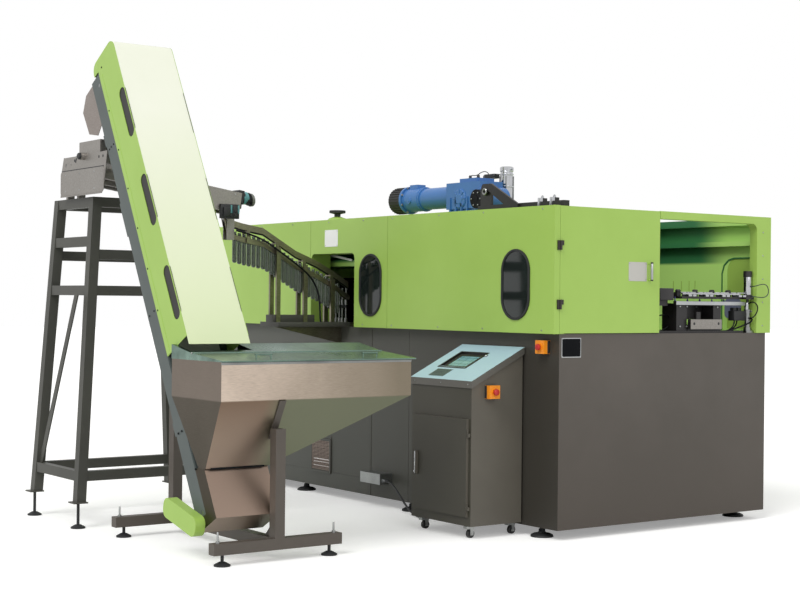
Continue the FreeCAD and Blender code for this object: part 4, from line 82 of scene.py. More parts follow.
camera = set_up("camera", bpy.data.cameras.new("camera"))
camera.data.sensor_width = 36
camera.data.lens = 69.13
camera.data.clip_end = 100
camera.matrix_world = (Matrix.Translation((6.882, -6.009, 1.389)) @ Matrix.Rotation(radians(54.24), 4, "Z")
                       @ Matrix.Rotation(radians(90.012), 4, "X") @ Matrix.Rotation(radians(0.587), 4, "Z"))
bpy.context.scene.camera = camera
bpy.context.scene.view_settings.view_transform = "Standard"

world = bpy.data.worlds.new("studio")
bpy.context.scene.world = world
world.use_nodes = True
tree = world.node_tree
path = add(tree, "LightPath").node.outputs
seen = add(tree, "Math", {0: path["Is Camera Ray"], 1: path["Is Transmission Ray"]}, operation="MAXIMUM")
shine = add(tree, "Math", {0: path["Is Glossy Ray"], 1: 0.72}, operation="MULTIPLY")
seen = add(tree, "Math", {0: seen, 1: shine}, operation="MAXIMUM")
level = add(tree, "MapRange", {"Value": seen, "To Min": 0.58, "To Max": 1.0})
feed(tree.nodes["Background"], {"Color": (1, 1, 1, 1), "Strength": level})

for name, strength, tilt, turn, spread in (("key_lamp", 1.55, 44, 20, 30), ("side_lamp", 0.62, 58, 80, 40)):
    lamp = set_up(name, bpy.data.lights.new(name, "SUN"))
    lamp.data.energy = strength
    lamp.data.angle = radians(spread)
    lamp.rotation_euler = (radians(tilt), 0, radians(turn))

bpy.ops.object.select_all(action="DESELECT")
bpy.ops.mesh.primitive_plane_add(size=120, location=(0, 0, -0.0008))
floor = bpy.context.object
floor.name = "floor"
pale_floor, tree, shader = new_material("pale_floor")
path = add(tree, "LightPath").node.outputs
lift = add(tree, "Math", {0: path["Is Camera Ray"], 1: 0.3}, operation="MULTIPLY")
feed(shader, {"Base Color": linear("#F2F2F0"), "Roughness": 0.9, "Specular IOR Level": 0.1,
              "Emission Color": (1, 1, 1, 1), "Emission Strength": lift})
floor.data.materials.append(pale_floor)


# ---- Console cable and outfeed air hose
# The cable is a 14 mm PVC sheathed one from the machine's outlet box down along the floor to the gland in
# the console's side. The hose is 6 mm polyurethane, a loop between two ports of the outfeed's jaw cylinder.

def moulded(name, colour, shade, roughness, grain, depth=0.00008):
    """Moulded plastic or rubber: a fine eroded grain, given in metres, and a little unevenness of tone."""
    material, tree, shader = new_material(name)
    place = add(tree, "TexCoord", output="Object")
    cloud = add(tree, "TexNoise", {"Vector": place, "Scale": 9.0, "Detail": 3.0})
    tone = add(tree, "Mix", {0: cloud, 6: linear(colour), 7: linear(shade)}, data_type="RGBA", output=2)
    rub = add(tree, "MapRange", {"Value": cloud, "To Min": roughness - 0.06, "To Max": roughness + 0.08})
    pits = add(tree, "TexNoise", {"Vector": place, "Scale": 1 / grain, "Detail": 2.0})
    bump = add(tree, "Bump", {"Height": pits, "Strength": 0.5, "Distance": depth})
    feed(shader, {"Base Color": tone, "Roughness": rub, "Normal": bump})
    return material


def sheath(name, points, radius, material):
    """A cord: one NURBS curve that has the route's points as its control points."""
    curve = bpy.data.curves.new(name, "CURVE")
    curve.dimensions = "3D"
    curve.bevel_depth = radius
    curve.bevel_resolution = 4
    curve.use_fill_caps = True
    spline = curve.splines.new("NURBS")
    spline.points.add(len(points) - 1)
    for point, place in zip(spline.points, points):
        point.co = (*place, 1)
    spline.order_u = 3
    spline.use_endpoint_u = True
    spline.resolution_u = 12
    curve.materials.append(material)
    return set_up(name, curve)


cable_sheath = moulded("pvc_cable_sheath", "#1B1C1D", "#242526", 0.42, 0.004)
cable = sheath("console_cable_sheath", [(-1.4297, -0.126, 0.19), (-1.4, -0.126, 0.189),
                                        (-1.356, -0.128, 0.178), (-1.31, -0.131, 0.154),
                                        (-1.262, -0.137, 0.122), (-1.205, -0.146, 0.086),
                                        (-1.14, -0.155, 0.048), (-1.07, -0.163, 0.02), (-1.0, -0.17, 0.008),
                                        (-0.925, -0.178, 0.0085), (-0.865, -0.186, 0.02),
                                        (-0.823, -0.193, 0.05), (-0.796, -0.199, 0.092),
                                        (-0.78, -0.203, 0.133), (-0.757, -0.2052, 0.168),
                                        (-0.7216, -0.206, 0.19)], 0.007, cable_sheath)
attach(cable, "machine")
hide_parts("console_cable")

hose_skin = moulded("polyurethane_hose", "#20262E", "#2A323C", 0.25, 0.003)
hose = sheath("outfeed_air_hose", [(0.19, 1.594, 1.5), (0.209, 1.595, 1.502), (0.23, 1.606, 1.508),
                                   (0.241, 1.629, 1.515), (0.243, 1.655, 1.516), (0.242, 1.68, 1.508),
                                   (0.24, 1.697, 1.487), (0.24, 1.698, 1.461), (0.239, 1.684, 1.44),
                                   (0.235, 1.659, 1.431), (0.226, 1.631, 1.431), (0.21, 1.606, 1.435),
                                   (0.19, 1.595, 1.438)], 0.003, hose_skin)
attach(hose, "gripper_bar")
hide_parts("outfeed_hose")


# ---- Shared ways of working, first needed for the strain reliefs of the cable
# A turned part is spun from its half outline, a flat part is cut from its outline, and a finished piece
# has its place put into its mesh before it rides on its body.

def turned(outline, place=(0, 0, 0), angles=(0, 0, 0), steps=32):
    """Spins a half outline of (radius, height) pairs about its own axis, and stands it at its place."""
    bpy.ops.object.select_all(action="DESELECT")
    bpy.ops.mesh.primitive_plane_add(size=1)
    piece = bpy.context.object
    bpy.ops.object.mode_set(mode="EDIT")
    bpy.ops.mesh.delete(type="VERT")
    bpy.ops.object.mode_set(mode="OBJECT")
    edges = [(number, number + 1) for number in range(len(outline) - 1)]
    piece.data.from_pydata([(radius, 0, height) for radius, height in outline], edges, [])
    bpy.ops.object.mode_set(mode="EDIT")
    bpy.ops.mesh.select_all(action="SELECT")
    bpy.ops.mesh.spin(steps=steps, angle=tau, center=(0, 0, 0), axis=(0, 0, 1))
    bpy.ops.mesh.select_all(action="SELECT")
    bpy.ops.mesh.remove_doubles(threshold=0.00002)
    bpy.ops.mesh.normals_make_consistent(inside=False)
    bpy.ops.object.mode_set(mode="OBJECT")
    piece.rotation_euler = [radians(angle) for angle in angles]
    piece.location = place
    return piece


def as_mesh(curve):
    """Makes a curve a mesh."""
    bpy.ops.object.select_all(action="DESELECT")
    curve.select_set(True)
    bpy.context.view_layer.objects.active = curve
    bpy.ops.object.convert(target="MESH")
    return bpy.context.object


def flat(outlines, thickness, place, angles=(0, 0, 0), edge=0.0006):
    """Cuts a sheet by its outlines, the later ones holes, softens its edges and stands it at its place."""
    curve = bpy.data.curves.new("outline", "CURVE")
    curve.dimensions = "2D"
    curve.fill_mode = "BOTH"
    curve.extrude = thickness / 2 - edge
    curve.bevel_depth = edge
    curve.bevel_resolution = 1
    curve.offset = -edge
    for outline in outlines:
        spline = curve.splines.new("POLY")
        spline.points.add(len(outline) - 1)
        for point, (across, up) in zip(spline.points, outline):
            point.co = (across, up, 0, 1)
        spline.use_cyclic_u = True
    piece = as_mesh(set_up("outline", curve))
    piece.rotation_euler = [radians(angle) for angle in angles]
    piece.location = place
    return piece


def circle(radius, turns):
    """Points of a circle at the given turns in degrees."""
    return [(radius * cos(radians(turn)), radius * sin(radians(turn))) for turn in turns]


def rounded(width, height, radius, steps=5):
    """Corner points of a rectangle with rounded corners, about its middle."""
    points = []
    for quarter, (across, up) in enumerate(((1, 1), (-1, 1), (-1, -1), (1, -1))):
        middle = (across * (width / 2 - radius), up * (height / 2 - radius))
        turns = [90 * quarter + 90 * step / steps for step in range(steps + 1)]
        points += [(middle[0] + x, middle[1] + y) for x, y in circle(radius, turns)]
    return points


def block(low, high, edge=0.001, segments=2):
    """A solid bar between two corners, with its edges broken."""
    bpy.ops.object.select_all(action="DESELECT")
    middle = [(a + b) / 2 for a, b in zip(low, high)]
    bpy.ops.mesh.primitive_cube_add(size=1, location=middle, scale=[b - a for a, b in zip(low, high)])
    piece = bpy.context.object
    bpy.ops.object.transform_apply(location=False, rotation=False, scale=True)
    bevel = piece.modifiers.new("edge", "BEVEL")
    bevel.width = edge
    bevel.segments = segments
    bpy.ops.object.modifier_apply(modifier="edge")
    return piece


def together(pieces):
    """Joins pieces into one mesh."""
    bpy.ops.object.select_all(action="DESELECT")
    for piece in pieces:
        piece.select_set(True)
    bpy.context.view_layer.objects.active = pieces[0]
    bpy.ops.object.transform_apply(location=True, rotation=True, scale=True)
    if len(pieces) > 1:
        bpy.ops.object.join()
    return bpy.context.object


def repeated(piece, places, angles=(0, 0, 0)):
    """Copies a piece to places, each copy with its own mesh, and joins them."""
    copies = []
    for place in places:
        copy = piece.copy()
        copy.data = piece.data.copy()
        bpy.context.scene.collection.objects.link(copy)
        copy.location = place
        copy.rotation_euler = [radians(angle) for angle in angles]
        copies.append(copy)
    bpy.data.objects.remove(piece)
    return together(copies)


def fitted(piece, name, material, body="machine", smooth=30):
    """Puts the place of a finished piece, or of its parts, into its mesh; gives it name, finish and body."""
    piece = together(piece if isinstance(piece, list) else [piece])
    piece.name = piece.data.name = name
    piece.data.materials.clear()
    piece.data.materials.append(material)
    bpy.ops.object.shade_smooth_by_angle(angle=radians(smooth))
    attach(piece, body)
    return piece


def dress(material, *nodes):
    """Gives CAD nodes their finish."""
    for node in nodes:
        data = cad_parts[node].data
        data.materials.clear()
        data.materials.append(material)


black_moulding = moulded("glass_filled_nylon", "#1D1E1F", "#262728", 0.5, 0.003)
relief = [(0.0074, 0), (0.0095, 0.0005), (0.0105, 0.003), (0.01, 0.01), (0.0092, 0.024), (0.0078, 0.036),
          (0.0072, 0.037), (0.0071, 0)]
fitted(turned(relief, (-1.43, -0.126, 0.19), (0, 90, 0)), "cable_relief_machine", black_moulding)
fitted(turned(relief, (-0.718, -0.206, 0.19), (0, -90, 0)), "cable_relief_console", black_moulding)


# ---- Base cabinet, access panel and feet
# Welded sheet steel boxes on a square tube ring, powder coated dark grey. The coat has a fine orange
# peel, and its colour is darker towards the bottom.

def powder_coat(name, colour, shade, roughness=0.42, peel=0.012, dust=0.0, painted_inner_shade=None, foot=None, front=None):
    """Baked polyester powder: even colour, soft gloss, orange peel drawn coarser than life so it shows."""
    material, tree, shader = new_material(name)
    place = add(tree, "TexCoord", output="Object")
    cloud = add(tree, "TexNoise", {"Vector": place, "Scale": 1.3, "Detail": 4.0, "Roughness": 0.6})
    share = add(tree, "MapRange", {"Value": cloud, "From Min": 0.35, "From Max": 0.65})
    tone = add(tree, "Mix", {0: share, 6: linear(colour), 7: linear(shade)}, data_type="RGBA", output=2)
    height = add(tree, "SeparateXYZ", {"Vector": place}).node.outputs
    if painted_inner_shade:
        # Painted light on the enclosure's inner faces, a lighter green, and a deep green painted shadow high
        # up.
        inside = add(tree, "MapRange", {"Value": height["Y"], "From Min": 1.7545, "From Max": 1.7535})
        outside = add(tree, "MapRange", {"Value": height["Y"], "From Min": -0.104, "From Max": -0.103})
        within = add(tree, "MapRange", {"Value": height["X"], "From Min": -4.0935, "From Max": -4.0925})
        upward = add(tree, "NewGeometry", output="True Normal")
        upward = add(tree, "SeparateXYZ", {"Vector": upward}, output="Z")
        upward = add(tree, "MapRange", {"Value": upward, "From Min": 0.6, "From Max": 0.4})
        for limit in (outside, within, upward):
            inside = add(tree, "Math", {0: inside, 1: limit}, operation="MULTIPLY")
        lower = add(tree, "Mix", {0: inside, 6: tone, 7: linear("#B8E47A")}, data_type="RGBA", output=2)
        # Painted shadow above 1.65 m under the roof, fading out towards the outfeed end.
        upper = add(tree, "MapRange", {"Value": height["Z"], "From Min": 1.65, "From Max": 1.668})
        roof = add(tree, "MapRange", {"Value": height["Z"], "From Min": 1.954, "From Max": 1.952})
        away = add(tree, "MapRange", {"Value": height["X"], "From Min": -0.42, "From Max": -0.14,
                                      "To Min": 1.0, "To Max": 0.12}, interpolation_type="SMOOTHSTEP")
        for limit in (upper, roof, away):
            inside = add(tree, "Math", {0: inside, 1: limit}, operation="MULTIPLY")
        tone = add(tree, "Mix", {0: inside, 6: lower, 7: linear(painted_inner_shade)}, data_type="RGBA", output=2)
    if foot:
        # Another tone at the foot, which fades out between two heights.
        rise = add(tree, "MapRange", {"Value": height["Z"], "From Min": foot[1], "From Max": foot[2]})
        tone = add(tree, "Mix", {0: rise, 6: linear(foot[0]), 7: tone}, data_type="RGBA", output=2)
    if front:
        # Darker tones on the faces towards the operator, which stand away from the light.
        facing = add(tree, "NewGeometry", output="True Normal")
        facing = add(tree, "SeparateXYZ", {"Vector": facing}, output="Y")
        near = add(tree, "MapRange", {"Value": facing, "From Min": -0.4, "From Max": -0.9, "To Max": 0.85})
        along = add(tree, "MapRange", {"Value": height["X"], "From Min": -2.6, "From Max": 0.0})
        dark = add(tree, "Mix", {0: along, 6: linear(front[0]), 7: linear(front[1])}, data_type="RGBA",
                   output=2)
        tone = add(tree, "Mix", {0: near, 6: tone, 7: dark}, data_type="RGBA", output=2)
    if dust:
        low = add(tree, "MapRange", {"Value": height["Z"], "From Min": 0.06, "From Max": 0.32, "To Min": dust,
                                     "To Max": 0.0}, interpolation_type="SMOOTHSTEP")
        streaks = add(tree, "TexNoise", {"Vector": place, "Scale": 7.0, "Detail": 5.0})
        low = add(tree, "Math", {0: low, 1: streaks}, operation="MULTIPLY")
        tone = add(tree, "Mix", {0: low, 6: tone, 7: linear("#8C8578")}, data_type="RGBA", output=2)
    gloss = add(tree, "MapRange", {"Value": cloud, "To Min": roughness - 0.05, "To Max": roughness + 0.05})
    skin = add(tree, "TexNoise", {"Vector": place, "Scale": 1 / peel, "Detail": 1.0})
    bump = add(tree, "Bump", {"Height": skin, "Strength": 0.35, "Distance": 0.0003})
    feed(shader, {"Base Color": tone, "Roughness": gloss, "Normal": bump})
    return material


def metal(name, colour, shade, roughness, stretch=(1, 1, 1), grain=0.002, depth=0.00004, spots=0.03):
    """Bare metal: the grain is a noise drawn out along the way it was brushed, turned or rolled."""
    material, tree, shader = new_material(name)
    place = add(tree, "TexCoord", output="Object")
    drawn = add(tree, "Mapping", {"Vector": place, "Scale": stretch})
    lines = add(tree, "TexNoise", {"Vector": drawn, "Scale": 1 / grain, "Detail": 3.0})
    cloud = add(tree, "TexNoise", {"Vector": place, "Scale": 1 / spots / 8, "Detail": 5.0})
    both = add(tree, "Mix", {0: 0.45, 2: cloud, 3: lines}, data_type="FLOAT")
    share = add(tree, "MapRange", {"Value": both, "From Min": 0.35, "From Max": 0.65})
    tone = add(tree, "Mix", {0: share, 6: linear(colour), 7: linear(shade)}, data_type="RGBA", output=2)
    gloss = add(tree, "MapRange", {"Value": both, "From Min": 0.3, "From Max": 0.7,
                                   "To Min": roughness - 0.07, "To Max": roughness + 0.08})
    bump = add(tree, "Bump", {"Height": lines, "Strength": 0.4, "Distance": depth})
    feed(shader, {"Metallic": 1, "Base Color": tone, "Roughness": gloss, "Normal": bump})
    return material


base_grey = powder_coat("dark_grey_powder_coat", "#56504A", "#4C4741", roughness=0.5,
                        foot=("#463F38", 0.06, 0.9), front=("#4D504A", "#2E2C26"))
zinc = metal("zinc_plated_steel", "#B9BBBA", "#8E9192", 0.34, grain=0.004)
black_rubber = moulded("natural_rubber", "#17181A", "#232425", 0.6, 0.003, depth=0.0002)
black_steel = metal("black_oxide_steel", "#2C2D2F", "#1D1E20", 0.42, grain=0.006)
machined = metal("machined_steel", "#A7A8A6", "#777A7B", 0.3, stretch=(1, 1, 8), grain=0.004)
dress(base_grey, "base_cabinet", "access_panel")
dress(black_rubber, "levelling_feet")
dress(zinc, "cable_glands")


def round_screws(name, places, angles, radius=0.006, height=0.0035, body="machine"):
    """Button-head socket screws: a domed head with a hexagon socket."""
    head = turned([(0, height * 0.45), (radius * 0.42, height * 0.45), (radius * 0.5, height),
                   (radius * 0.8, height * 0.85), (radius, height * 0.3), (radius, 0), (0, 0)], steps=16)
    piece = repeated(head, places, angles)
    return fitted(piece, name, zinc, body)


# Thick rubber pads under the machine's own feet, with a lock nut over each.
machine_feet = [(x, y, 0.0) for x in (0.0, -1.3013, -2.6027, -3.904) for y in (0.0, 1.65)]
pad = turned([(0, 0.03), (0.022, 0.03), (0.026, 0.024), (0.05, 0.02), (0.066, 0.012), (0.069, 0.002),
              (0.067, 0), (0, 0)], steps=32)
stud = turned([(0, 0.062), (0.011, 0.062), (0.011, 0.046), (0.02, 0.046), (0.02, 0.03), (0, 0.03)], steps=6)
fitted(repeated(pad, machine_feet), "machine_foot_pads", black_rubber)
fitted(repeated(stud, machine_feet), "machine_foot_nuts", black_steel)

# Base front: screws round the access panel's frame and along the folded edges.
base_front = -0.053
corners = [(x, base_front, z) for x, z in
           ((-2.83, 0.2), (-2.83, 1.04), (-2.285, 1.04), (-1.738, 0.2), (-1.738, 1.04))]
round_screws("access_screws", corners, (90, 0, 0))
latch = turned([(0, 0.006), (0.004, 0.006), (0.006, 0.004), (0.013, 0.004), (0.014, 0.003), (0.014, 0),
                (0, 0)])
fitted(repeated(latch, [(x, base_front, 0.62) for x in (-1.76, -2.845)], (90, 0, 0)), "access_latches", zinc)

# Vent grille: a pressed frame round a woven wire screen, bare and slightly brown.
wire = metal("woven_wire_screen", "#A3958C", "#7C6F68", 0.5, grain=0.004)
strands = [block((-2.444, -0.0605, z), (-2.212, -0.0585, z + 0.0045), 0.0004, 1)
           for z in (0.18 + 0.0095 * number for number in range(22))]
strands += [block((x, -0.06, 0.176), (x + 0.0045, -0.059, 0.386), 0.0004, 1)
            for x in (-2.44 + 0.019 * number for number in range(13))]
fitted(strands, "vent_screen", wire)
grille = flat([rounded(0.262, 0.246, 0.012), rounded(0.228, 0.212, 0.006)], 0.006, (-2.328, -0.059, 0.28),
              (90, 0, 0))
fitted(grille, "vent_frame", base_grey)

# Nameplate: bare anodised plate with a silver border and four rivets.
black_anodised = metal("black_anodised_aluminium", "#17181A", "#202124", 0.38, grain=0.004)
silver = metal("silver_anodised_aluminium", "#C9CBCC", "#A9ACAE", 0.32, stretch=(1, 1, 12), grain=0.004)
fitted(flat([rounded(0.152, 0.115, 0.004)], 0.0016, (0.197, 0.04, 1.1225), (90, 0, 90)), "nameplate", silver)
fitted(flat([rounded(0.142, 0.105, 0.003)], 0.0012, (0.1982, 0.04, 1.1225), (90, 0, 90)), "nameplate_face",
       black_anodised)
rivets = [(0.1984, y, z) for y in (-0.029, 0.109) for z in (1.072, 1.173)]
round_screws("nameplate_rivets", rivets, (90, 0, 90), 0.003, 0.002)


# ---- Green enclosure: front panels, end frame, end door, rear panels and roof
# Folded 3 mm steel sheets, powder coated light green; their inner faces carry painted light and, high up, a
# deep green painted shadow.
# They are screwed to the table and to each other along their returns.

green = powder_coat("light_green_powder_coat", "#A0C25C", "#99BB54", roughness=0.36)
# Painted light and painted shade on the inner faces of the rear panels and roof.
green_with_painted_inner_light_and_shade = powder_coat("light_green_powder_coat_painted_inner_light_and_shade", "#A0C25C", "#99BB54", roughness=0.36, painted_inner_shade="#357546")
dress(green, "front_panels")
dress(green_with_painted_inner_light_and_shade, "rear_panels", "roof_panel")

# The end door turns on two black steel hinges: the leaves and barrels stand proud of the green sheets.
hinge_green = powder_coat("light_green_powder_coat_hinged", "#A0C25C", "#99BB54", roughness=0.36)
tree = hinge_green.node_tree
shader = tree.nodes["Principled BSDF"]
tone = shader.inputs["Base Color"].links[0].from_socket
place = add(tree, "SeparateXYZ", {"Vector": add(tree, "TexCoord", output="Object")}).node.outputs
black = add(tree, "Math", {0: place["X"], 1: 0.2064}, operation="GREATER_THAN")
level = [add(tree, "Math", {0: place["Z"], 1: middle, 2: 0.029}, operation="COMPARE")
         for middle in (1.374, 1.718)]
level = add(tree, "Math", {0: level[0], 1: level[1]}, operation="MAXIMUM")
across = add(tree, "Math", {0: place["Y"], 1: -0.061, 2: 0.026}, operation="COMPARE")
for limit in (level, across):
    black = add(tree, "Math", {0: black, 1: limit}, operation="MULTIPLY")
tone = add(tree, "Mix", {0: black, 6: tone, 7: linear("#231B1A")}, data_type="RGBA", output=2)
feed(shader, {"Base Color": tone})
dress(hinge_green, "end_door", "end_frame")

dark_glass, tree, shader = new_material("smoked_polycarbonate")
place = add(tree, "TexCoord", output="Object")
cloud = add(tree, "TexNoise", {"Vector": place, "Scale": 3.0, "Detail": 2.0})
tone = add(tree, "Mix", {0: cloud, 6: linear("#1C2422"), 7: linear("#2E3936")}, data_type="RGBA", output=2)
gloss = add(tree, "MapRange", {"Value": cloud, "To Min": 0.03, "To Max": 0.07})
feed(shader, {"IOR": 1.58, "Transmission Weight": 0.55, "Base Color": tone, "Roughness": gloss})
dress(dark_glass, "window_panes")


def stadium(width, height, steps=14):
    """Outline of a window with round ends."""
    return rounded(width, height, width / 2 - 0.0001, steps)


# Inside the infeed: a green lintel behind the opening and a pale slanting guide bar over it.
enamel = powder_coat("white_enamel", "#F1F2EF", "#E6E8E4", roughness=0.25, peel=0.006)
lintel = block((-2.59, 0.096, 1.628), (-2.1, 0.106, 1.673), 0.0015)
# The lintel carries the inner faces' painted light and painted shade.
fitted(lintel, "infeed_lintel", green_with_painted_inner_light_and_shade)
guide = block((-0.175, -0.004, -0.008), (0.175, 0.004, 0.008), 0.0015)
guide.location += Vector((-2.35, 0.092, 1.696))
guide.rotation_euler = (0, radians(8.2), 0)
fitted(guide, "infeed_guide_bar", enamel)

# End door handle: a silver sleeve over the bar, with black plastic ends.
sleeve = turned([(0.007, 0.01), (0.0079, 0.012), (0.0079, 0.104), (0.007, 0.106)], (0.233, 0.655, 1.52),
                steps=20)
fitted(sleeve, "end_door_sleeve", silver, "end_door")
collars = [turned([(0.007, 0), (0.0084, 0.001), (0.0084, 0.008), (0.007, 0.009)], (0.233, 0.655, z), steps=20)
           for z in (1.5205, 1.6258)]
fitted(collars, "end_door_collars", black_moulding, "end_door")

# Window seals: extruded rubber that grips the sheet and the pane.
for name, x in (("infeed", -1.657), ("clamp", -0.137)):
    seal = flat([stadium(0.262, 0.424), stadium(0.232, 0.394)], 0.01, (x, -0.11, 1.49), (90, 0, 0),
                edge=0.003)
    fitted(seal, "window_seal_" + name, black_rubber)

# Bare sign plates, white and grey enamel on aluminium, riveted on.
front_sign = flat([rounded(0.166, 0.118, 0.006)], 0.0016, (-2.146, -0.107, 1.819), (90, 0, 0))
fitted(front_sign, "sign_plate_front", enamel)
end_sign = flat([rounded(0.151, 0.115, 0.006)], 0.0016, (0.207, 0.5615, 1.5765), (90, 0, 90))
grey_enamel = powder_coat("grey_white_enamel", "#BEBCB6", "#B4B2AC", roughness=0.25, peel=0.006)
fitted(end_sign, "sign_plate_end", grey_enamel, "end_door")
rivets = [(x, -0.1078, z) for x in (-2.22, -2.072) for z in (1.769, 1.869)]
round_screws("sign_rivets_front", rivets, (90, 0, 0), 0.003, 0.002)
rivets = [(0.2078, y, z) for y in (0.4935, 0.6295) for z in (1.5285, 1.6245)]
round_screws("sign_rivets_end", rivets, (90, 0, 90), 0.003, 0.002, "end_door")

# Screws that hold the panels to the table and to the roof returns.
sheet_front, sheet_end = -0.106, 0.206
columns = (-4.0, -3.55, -3.1, -2.66, -1.75, -1.41, -0.9, -0.45, 0.1)
high_columns = (*columns[:4], -2.18, *columns[4:])
rows = [(x, sheet_front, 1.222) for x in columns] + [(x, sheet_front, 1.931) for x in high_columns]
round_screws("panel_screws", rows, (90, 0, 0), 0.005, 0.003)
rows = [(sheet_end, 1.68, z) for z in (1.25, 1.4, 1.55, 1.7, 1.85)]
round_screws("end_frame_screws", rows, (90, 0, 90), 0.005, 0.003)

# Infeed escapement: machined stop rods with collars, standing on the table, and the bar across them.
table_top = 1.203
stops = [turned([(0, 0.27), (0.006, 0.27), (0.006, 0.19), (0.011, 0.186), (0.011, 0.15), (0.006, 0.146),
                 (0.006, 0.06), (0.013, 0.056), (0.013, 0), (0, 0)], (x, 0.07, table_top), steps=16)
         for x in (-2.385, -2.345, -2.3, -2.262, -2.215)]
fitted(stops, "infeed_stops", machined)
stop_bar = block((-2.4, 0.062, 1.33), (-2.2, 0.078, 1.352), 0.003, 2)
fitted(stop_bar, "infeed_stop_bar", black_steel)

# Black moulded cap on the roof hump, with a ribbed edge.
cap = turned([(0.0224, 0), (0.0224, 0.0198), (0.0554, 0.0278), (0.0554, 0.0462), (0.053, 0.0466),
              (0, 0.0466)], (-2.284, 0.034, 1.979), steps=40)
fitted(cap, "roof_cap", black_moulding)
ribs = [(-2.284 + x, 0.034 + y, 2.016) for x, y in circle(0.0545, range(0, 360, 15))]
rib = block((-0.002, -0.003, -0.008), (0.002, 0.003, 0.008), 0.0008)
fitted(repeated(rib, ribs), "roof_cap_ribs", black_moulding)


# ---- Roof drive: gear motor, bearing bracket and stretch cylinder
# A ribbed black fan cover on a cast blue motor and gearbox, a black bearing bracket with its brace and
# beam, bright clamps, and a polished stainless air cylinder with its valve and pilot tube.

enamel_blue = powder_coat("blue_machine_enamel", "#3F74B4", "#34639E", roughness=0.32, peel=0.02)
fan_black = moulded("ribbed_fan_cover_paint", "#201F20", "#2C2B2B", 0.5, 0.006, depth=0.0003)
polished = metal("polished_stainless_tube", "#D3D4D6", "#B4B6BA", 0.14, stretch=(1, 1, 0.1), grain=0.004,
                 depth=0.00001)
bracket_black = moulded("black_enamelled_iron", "#232122", "#1A191A", 0.38, 0.008, depth=0.0002)
dress(enamel_blue, "drive_motor", "drive_gearbox")
dress(black_steel, "drive_shaft")
dress(bracket_black, "shaft_bracket")
dress(polished, "stretch_cylinder")

# Fan cover: a ribbed cap over the motor's end.
motor_y, motor_z, fan_end = 0.394, 2.095, -2.058
cover = turned([(0, 0.0005), (0.034, 0.0005), (0.038, -0.0015), (0.066, 0.0005), (0.0895, 0.02),
                (0.0895, 0.156), (0.079, 0.16), (0.0782, 0.16)], (fan_end - 0.0002, motor_y, motor_z),
               (0, 90, 0), 48)
fins = []
for turn in range(0, 360, 12):
    fin = block((fan_end + 0.024, -0.0025, 0.0885), (fan_end + 0.154, 0.0025, 0.0945), 0.0008, 1)
    fin.rotation_euler = (radians(turn), 0, 0)
    outward = Matrix.Rotation(radians(turn), 3, "X") @ Vector((0, 0, 0.0915))
    fin.location = Vector((fin.location.x, motor_y, motor_z)) + outward
    fins.append(fin)
fitted([cover] + fins, "fan_cover", fan_black)


def bolt_head(radius, height, top, shoulder, place=(0, 0, 0), angles=(0, 0, 0), steps=6):
    """A bolt head, nut or pin end: flat on top, chamfered down to its shoulder."""
    return turned([(0, height), (top, height), (radius, shoulder), (radius, 0), (0, 0)], place, angles, steps)


# Flange bolts, the boss on the barrel, oil plugs, and the rings, covers and bolts along the drive.
places = [(-1.8835, motor_y + y, motor_z + z) for y, z in circle(0.088, range(22, 382, 45))]
fitted(repeated(bolt_head(0.009, 0.009, 0.007, 0.007), places, (0, 90, 0)), "flange_bolts", zinc)
boss = turned([(0, 0.012), (0.008, 0.012), (0.01, 0.008), (0.02, 0.008), (0.022, 0), (0, 0)], steps=24)
fitted(repeated(boss, [(-1.8, motor_y - 0.08, motor_z - 0.01)], (90, 0, 0)), "barrel_boss", enamel_blue)
plug = turned([(0, 0.03), (0.008, 0.03), (0.01, 0.026), (0.01, 0.014), (0.014, 0.012), (0.014, 0), (0, 0)],
              steps=16)
fitted(repeated(plug, [(-1.215, 0.394, 2.2015), (-1.13, 0.394, 2.2015)]), "oil_plugs", black_moulding)
ribs = [turned([(0.0822, -0.003), (0.086, -0.002), (0.086, 0.002), (0.0822, 0.003)], (x, motor_y, motor_z),
               (0, 90, 0), 48) for x in (-1.87, -1.712)]
fitted(ribs, "motor_rings", enamel_blue)
output_x, output_z = -0.989, 2.058
cover = turned([(0, 0.01), (0.052, 0.01), (0.058, 0.006), (0.072, 0.006), (0.074, 0.004), (0.074, 0), (0, 0)],
               (output_x, 0.299, output_z), (90, 0, 0), 40)
fitted(cover, "output_cover", enamel_blue)
hub_bolts = [(output_x + x, 0.2627, output_z + z) for x, z in circle(0.046, range(0, 360, 60))]
fitted(repeated(bolt_head(0.0055, 0.006, 0.004, 0.004), hub_bolts, (90, 0, 0)), "hub_bolts", zinc,
       "drive_shaft")
bearing = turned([(0.011, 0.006), (0.015, 0.008), (0.02, 0.008), (0.023, 0.005), (0.023, 0), (0.011, 0)],
                 (-0.854, 0.229, 2.096), (90, 0, 0), 32)
fitted(bearing, "bearing_ring", machined)
bolts = [(x, y, 1.9553) for x in (-0.163, -0.433) for y in (0.226, 0.306)]
fitted(repeated(bolt_head(0.008, 0.01, 0.006, 0.008), bolts), "beam_bolts", zinc)
straps = [block((x - 0.0098, 0.2342, 1.9556), (x + 0.0098, 0.26, 2.032), 0.0012) for x in (-0.219, -0.331)]
nuts = [bolt_head(0.01, 0.012, 0.007, 0.009, (x, 0.266, 2.0315)) for x in (-0.219, -0.331)]
fitted(straps + nuts, "beam_clamps", polished)

# Gearbox front: a round cover with radial ribs.
cover = turned([(0, 0.012), (0.03, 0.012), (0.036, 0.008), (0.058, 0.008), (0.066, 0.003), (0.066, 0),
                (0, 0)], (-1.205, 0.299, 2.07), (90, 0, 0), 40)
spokes = []
for turn in range(0, 360, 45):
    spoke = block((0.03, -0.012, -0.003), (0.064, 0.001, 0.003), 0.001, 1)
    spoke.location = Matrix.Rotation(radians(turn), 3, "Y") @ spoke.location + Vector((-1.205, 0.299, 2.07))
    spoke.rotation_euler = (0, radians(turn), 0)
    spokes.append(spoke)
fitted([cover] + spokes, "gearbox_cover", enamel_blue)

